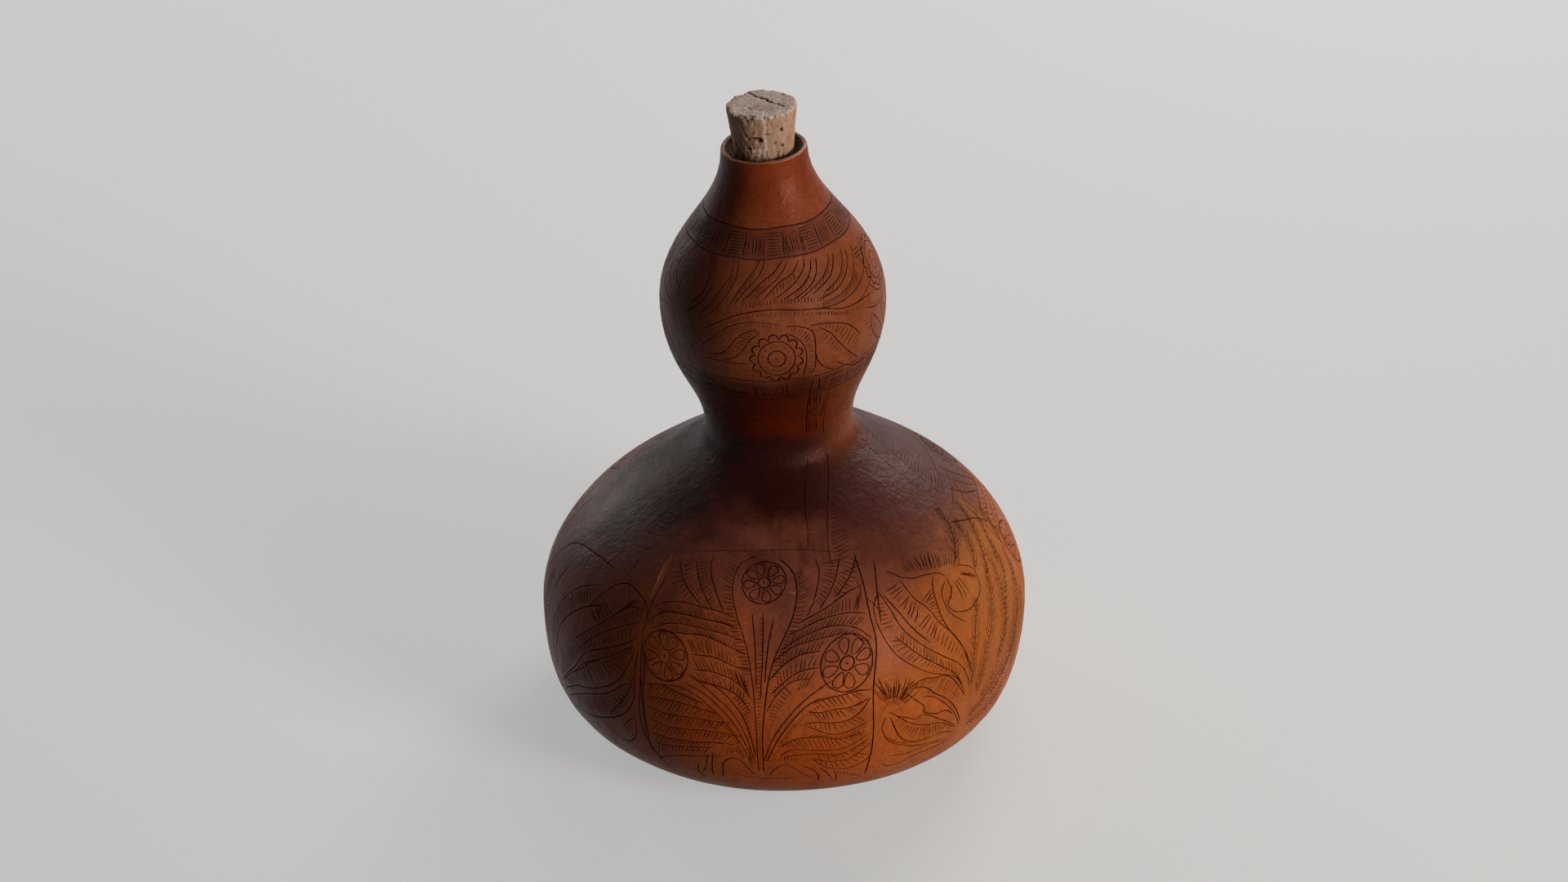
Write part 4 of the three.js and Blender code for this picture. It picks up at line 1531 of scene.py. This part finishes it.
def corkPits():
    # lenticels: where they are on the side, as turn, height above the base, half width, half height and depth
    draw = random.Random(cork["seed"])
    pits = []
    for index in range(cork["pits"]):
        size = draw.uniform(0.6, 1.25) if index < cork["bigPits"] else draw.uniform(0.25, 0.6)
        turn, height = draw.uniform(-math.pi, math.pi), draw.uniform(3, cork["length"] - 1)
        pits.append((turn, height, size * draw.uniform(0.8, 1.6), size * draw.uniform(0.5, 1.0),
                     size * draw.uniform(0.5, 0.9)))
    shown = [(-0.22, 22.6, 2.1, 0.5, 0.9), (-0.07, 21.9, 0.9, 0.7, 1.2), (-0.44, 22.2, 0.9, 0.45, 0.7),
             (0.63, 24.6, 0.6, 0.9, 1.0), (0.69, 18.7, 0.6, 0.7, 0.9), (0.41, 20.5, 0.4, 0.4, 0.7),
             (0.47, 26.3, 0.35, 0.5, 0.6), (0.27, 27.4, 0.3, 0.4, 0.5), (0.18, 23.9, 1.0, 0.4, 0.6),
             (-0.53, 23.2, 0.5, 0.4, 0.6), (-0.46, 18.6, 1.0, 0.6, 0.8), (0.95, 20.6, 0.5, 0.5, 0.6)]
    return pits + shown


# splits across the top, as start, end, half width and depth
corkCracks = [((-4.6, 8.8), (7.2, -2.8), 0.34, 1.0), ((-5.9, -0.4), (-1.8, -4.3), 0.22, 0.7),
              ((6.0, 6.7), (7.4, 6.0), 0.3, 0.6), ((-3.9, -8.3), (-1.6, -9.5), 0.34, 0.8)]


def grainAt(x, y, z, scale):
    return noise.fractal(Vector((x, y, z)) * scale, 0.7, 2.1, 4)


def chipAt(turn, height):
    # how far the upper edge has crumbled, in bites of different sizes
    x, y = math.sin(turn) * 9, math.cos(turn) * 9
    return 1.2 * max(0.0, grainAt(x, y, height, 0.3) - 0.05) + max(0.0, grainAt(x, y, 4, 0.75) - 0.2)


def pitDepthAt(turn, height, radius, pits):
    x, y = math.sin(turn), -math.cos(turn)
    depth = 0.0
    for pitTurn, pitHeight, halfWidth, halfHeight, deep in pits:
        up = (height - pitHeight) / halfHeight
        if abs(up) < 1.6:
            over = math.remainder(turn - pitTurn, 2 * math.pi) * radius / halfWidth
            distance = over * over + up * up
            if distance < 2.2:
                ragged = 1 + 0.9 * abs(grainAt(x, y, height, 3))
                depth = max(depth, deep * max(0.0, 1 - distance / ragged))
    return depth


def crackDepthAt(x, y):
    depth = 0.0
    for start, end, halfWidth, deep in corkCracks:
        way = np.subtract(end, start)
        share = float(np.clip(np.dot(np.subtract((x, y), start), way) / np.dot(way, way), 0, 1))
        wander = 0.25 * math.sin(share * 17) + 0.15 * math.sin(share * 41)
        foot = np.add(start, way * share) + wander * np.array([-way[1], way[0]]) / np.linalg.norm(way)
        width = halfWidth * (0.5 + math.sin(math.pi * share))
        distance = math.hypot(x - foot[0], y - foot[1]) / width
        depth = max(depth, deep * max(0.0, 1 - distance * distance))
    return depth


def sidePoint(turn, height, inset, pits):
    # point of the side, with how deep its pit is and how pale it is
    radius = cork["bottomRadius"] + height / cork["length"] * (cork["topRadius"] - cork["bottomRadius"])
    x, y = math.sin(turn), -math.cos(turn)
    seamTurn = math.remainder(turn - 0.1 - 0.02 * math.sin(height), 2 * math.pi)
    seam = math.exp(-((seamTurn * radius) / 0.4) ** 2)
    depth = pitDepthAt(turn, height, radius, pits) + 0.28 * seam * (0.5 + 0.5 * math.sin(height * 1.9))
    bare = math.exp(-((turn + 0.25) / 0.26) ** 2 - ((height - 18.6) / 2.4) ** 2)
    pale = seam * (0.75 + 0.6 * grainAt(x, y, height, 1.5)) + bare * (0.6 + 1.4 * grainAt(x, y, height, 2.2))
    rough = cork["roughness"] * (1 + 1.1 * grainAt(x * radius, y * radius, height * 0.6, 1.1))
    reach = radius - inset - max(0.0, rough) - depth
    return (x * reach, y * reach, height), min(1.0, depth / 0.7), min(1.0, max(0.0, pale))


def topPoint(turn, ring, drop):
    # point of the upper face; ring is its distance from the middle before the edge crumbled
    rim = cork["topRadius"]
    chipped = chipAt(turn, cork["length"])
    reach = ring - chipped * max(0.0, (ring - rim + 3) / 3)
    x, y = math.sin(turn) * reach, -math.cos(turn) * reach
    depth = crackDepthAt(x, y)
    bowl = 0.35 * max(0.0, grainAt(x, y, 7, 0.16)) + 0.16 * abs(grainAt(x, y, 3, 0.9))
    low = 0.7 * chipped * max(0.0, (ring - rim + 1.6) / 1.6)
    return (x, y, cork["length"] - drop - bowl - depth - low), min(1.0, depth / 0.5), 0.0


def corkRows():
    # every ring of the side and then of the top, each as a list of points with pit and pale
    turns = np.linspace(-math.pi, math.pi, cork["columns"], endpoint=False)
    length, edge, rim = cork["length"], cork["edge"], cork["topRadius"]
    pits = corkPits()
    count = int(length / cork["rowHeight"])
    heights = [0.0, 0.2, 0.45] + list(np.linspace(edge, length - edge, count))
    insets = [0.7, 0.35, 0.12] + [0.0] * count
    side = []
    for height, inset in zip(heights, insets):
        crumbling = max(0.0, (height - length + 2) / 2)
        side.append([sidePoint(turn, height, inset + crumbling * chipAt(turn, height), pits)
                     for turn in turns])
    rings = [rim - 0.12, rim - 0.4, rim - 0.8] + list(np.arange(rim - 1.25, 0.6, -0.42))
    drops = [0.42, 0.14, 0.03] + [0.0] * len(rings)
    top = [[topPoint(turn, ring, drop) for turn in turns] for ring, drop in zip(rings, drops)]
    return side, top


def standInMouth(points):
    # from the cork's own frame to its seat, along the axis there
    offset, angle = axisAt(corkBase)
    x, y, z = np.array(points).T
    return np.stack([x * math.cos(angle) - z * math.sin(angle) - offset, y,
                     x * math.sin(angle) + z * math.cos(angle) + corkBase], 1)


def buildCork():
    columns = cork["columns"]
    side, top = corkRows()
    bottomCentre, topCentre = (0.0, 0.0, 0.0), (0.0, 0.0, cork["length"] - 0.2)
    points, pitted, pales = zip((bottomCentre, 0.0, 0.0), *sum(side + top, []), (topCentre, 0.0, 0.0))
    faces = capFaces(0, 1, columns, True) + ringFaces(len(side) + len(top), columns, 1)
    faces += capFaces(len(points) - 1, len(points) - 1 - columns, columns, False)
    sideFaces = columns * (len(side) + 1)
    slots = [0] * sideFaces + [1] * (len(faces) - sideFaces)
    sideLook = corkMaterial("cork_side", corkLook["side"], corkLook["sideGrain"], True)
    # the top is painted lighter than the side: partly its paler cut face, partly painted light from above
    topLook = corkMaterial("cork_cut_top_painted_lit", corkLook["top"], corkLook["litTopGrain"], False)
    piece = newObject("tapered_cork", standInMouth(points), faces, [sideLook, topLook], slots)
    for name, values in (("pit", pitted), ("pale", pales)):
        piece.data.attributes.new(name, "FLOAT", "POINT").data.foreach_set("value", values)
    piece.data.polygons.foreach_set("use_smooth", [True] * len(piece.data.polygons))
    piece.data.set_sharp_from_angle(angle=math.radians(55))
    return piece


stopper = buildCork()
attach(stopper, "stopper")
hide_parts("cork_stopper")


print("Setting the studio")
studio = {
    "lens": 84.375,
    "distance": 1.222,
    "elevation": math.radians(30),
    "target": 0.1004,
    "floorSize": 8000,  # millimetres
    "floorColour": (0.26, 0.25, 0.24),
    "paleness": 0.4,  # how bright floor and background are where they are seen
    "skyPaleness": 1.05,  # of the background, as a share of the floor's, so that they meet unseen
    "worldStrength": 0.03,
    "worldColour": (1, 0.98, 0.96),
}
lamps = {  # place and size in metres; a grid narrows the key, which keeps it off the floor
    "key": {"place": (1.05, -0.8, 0.5), "size": (0.5, 0.5), "power": 2.25, "colour": (1, 0.95, 0.88),
            "spread": math.radians(60)},
    "fill": {"place": (-0.6, -1.2, 0.6), "size": (1, 1), "power": 0.2, "colour": (1, 0.92, 0.85)},
    "left_rim": {"place": (-0.8, 0.95, 0.5), "size": (0.15, 0.8), "power": 2.8},
    "right_rim": {"place": (0.55, 0.95, 0.75), "size": (0.5, 0.5), "power": 7.5},
    "top": {"place": (0.1, 0.95, 1.15), "size": (0.5, 0.5), "power": 2.5},
}


def seenRays(tree):
    # 1 for rays that show a surface to the camera, straight or by reflection, 0 for its light on the object
    path = addNode(tree, "ShaderNodeLightPath")
    seen = sums(tree, "MAXIMUM", path.outputs["Is Camera Ray"], path.outputs["Is Glossy Ray"])
    return sums(tree, "MAXIMUM", seen, path.outputs["Is Transmission Ray"])


def paleMaterial(name):
    # plain surface that takes the object's shadow, lifted to a pale shade where it is seen
    material, tree, shader = newMaterial(name, studio["floorColour"], 0.9, 0.1)
    shader.inputs["Emission Color"].default_value = (1, 1, 1, 1)
    tree.links.new(product(tree, seenRays(tree), studio["paleness"]), shader.inputs["Emission Strength"])
    return material


def areaLight(name, place, size, power, colour=(1, 1, 1), spread=math.pi):
    data = bpy.data.lights.new(name, "AREA")
    data.shape = "RECTANGLE"
    data.size, data.size_y = size
    data.energy = power
    data.color = colour
    data.spread = spread
    light = bpy.data.objects.new(name, data)
    light.location = place
    aim = Vector((0, 0, 0.1)) - Vector(place)
    light.rotation_euler = aim.to_track_quat("-Z", "Y").to_euler()
    bpy.context.scene.collection.objects.link(light)


def paleWorld():
    world = bpy.data.worlds.new("studio")
    bpy.context.scene.world = world
    world.use_nodes = True
    tree = world.node_tree
    background = tree.nodes["Background"]
    background.inputs["Color"].default_value = (*studio["worldColour"], 1)
    seen = studio["paleness"] * studio["skyPaleness"]
    strength = between(tree, seenRays(tree), 0, 1, studio["worldStrength"], seen)
    tree.links.new(strength, background.inputs["Strength"])


def placeCamera():
    camera = bpy.data.objects.new("camera", bpy.data.cameras.new("camera"))
    camera.data.lens = studio["lens"]
    camera.data.sensor_width = 36
    elevation, distance = studio["elevation"], studio["distance"]
    camera.location = (0, -distance * math.cos(elevation), studio["target"] + distance * math.sin(elevation))
    camera.rotation_euler = (math.pi / 2 - elevation, 0, 0)
    bpy.context.scene.collection.objects.link(camera)
    bpy.context.scene.camera = camera


half = studio["floorSize"] / 2
floor = newObject("floor", [(-half, -half, 0), (half, -half, 0), (half, half, 0), (-half, half, 0)],
                  [(0, 1, 2, 3)], [paleMaterial("pale_floor")])
paleWorld()
for name, lamp in lamps.items():
    areaLight(name, **lamp)
placeCamera()
bpy.context.scene.view_settings.view_transform = "Standard"

print("Done")
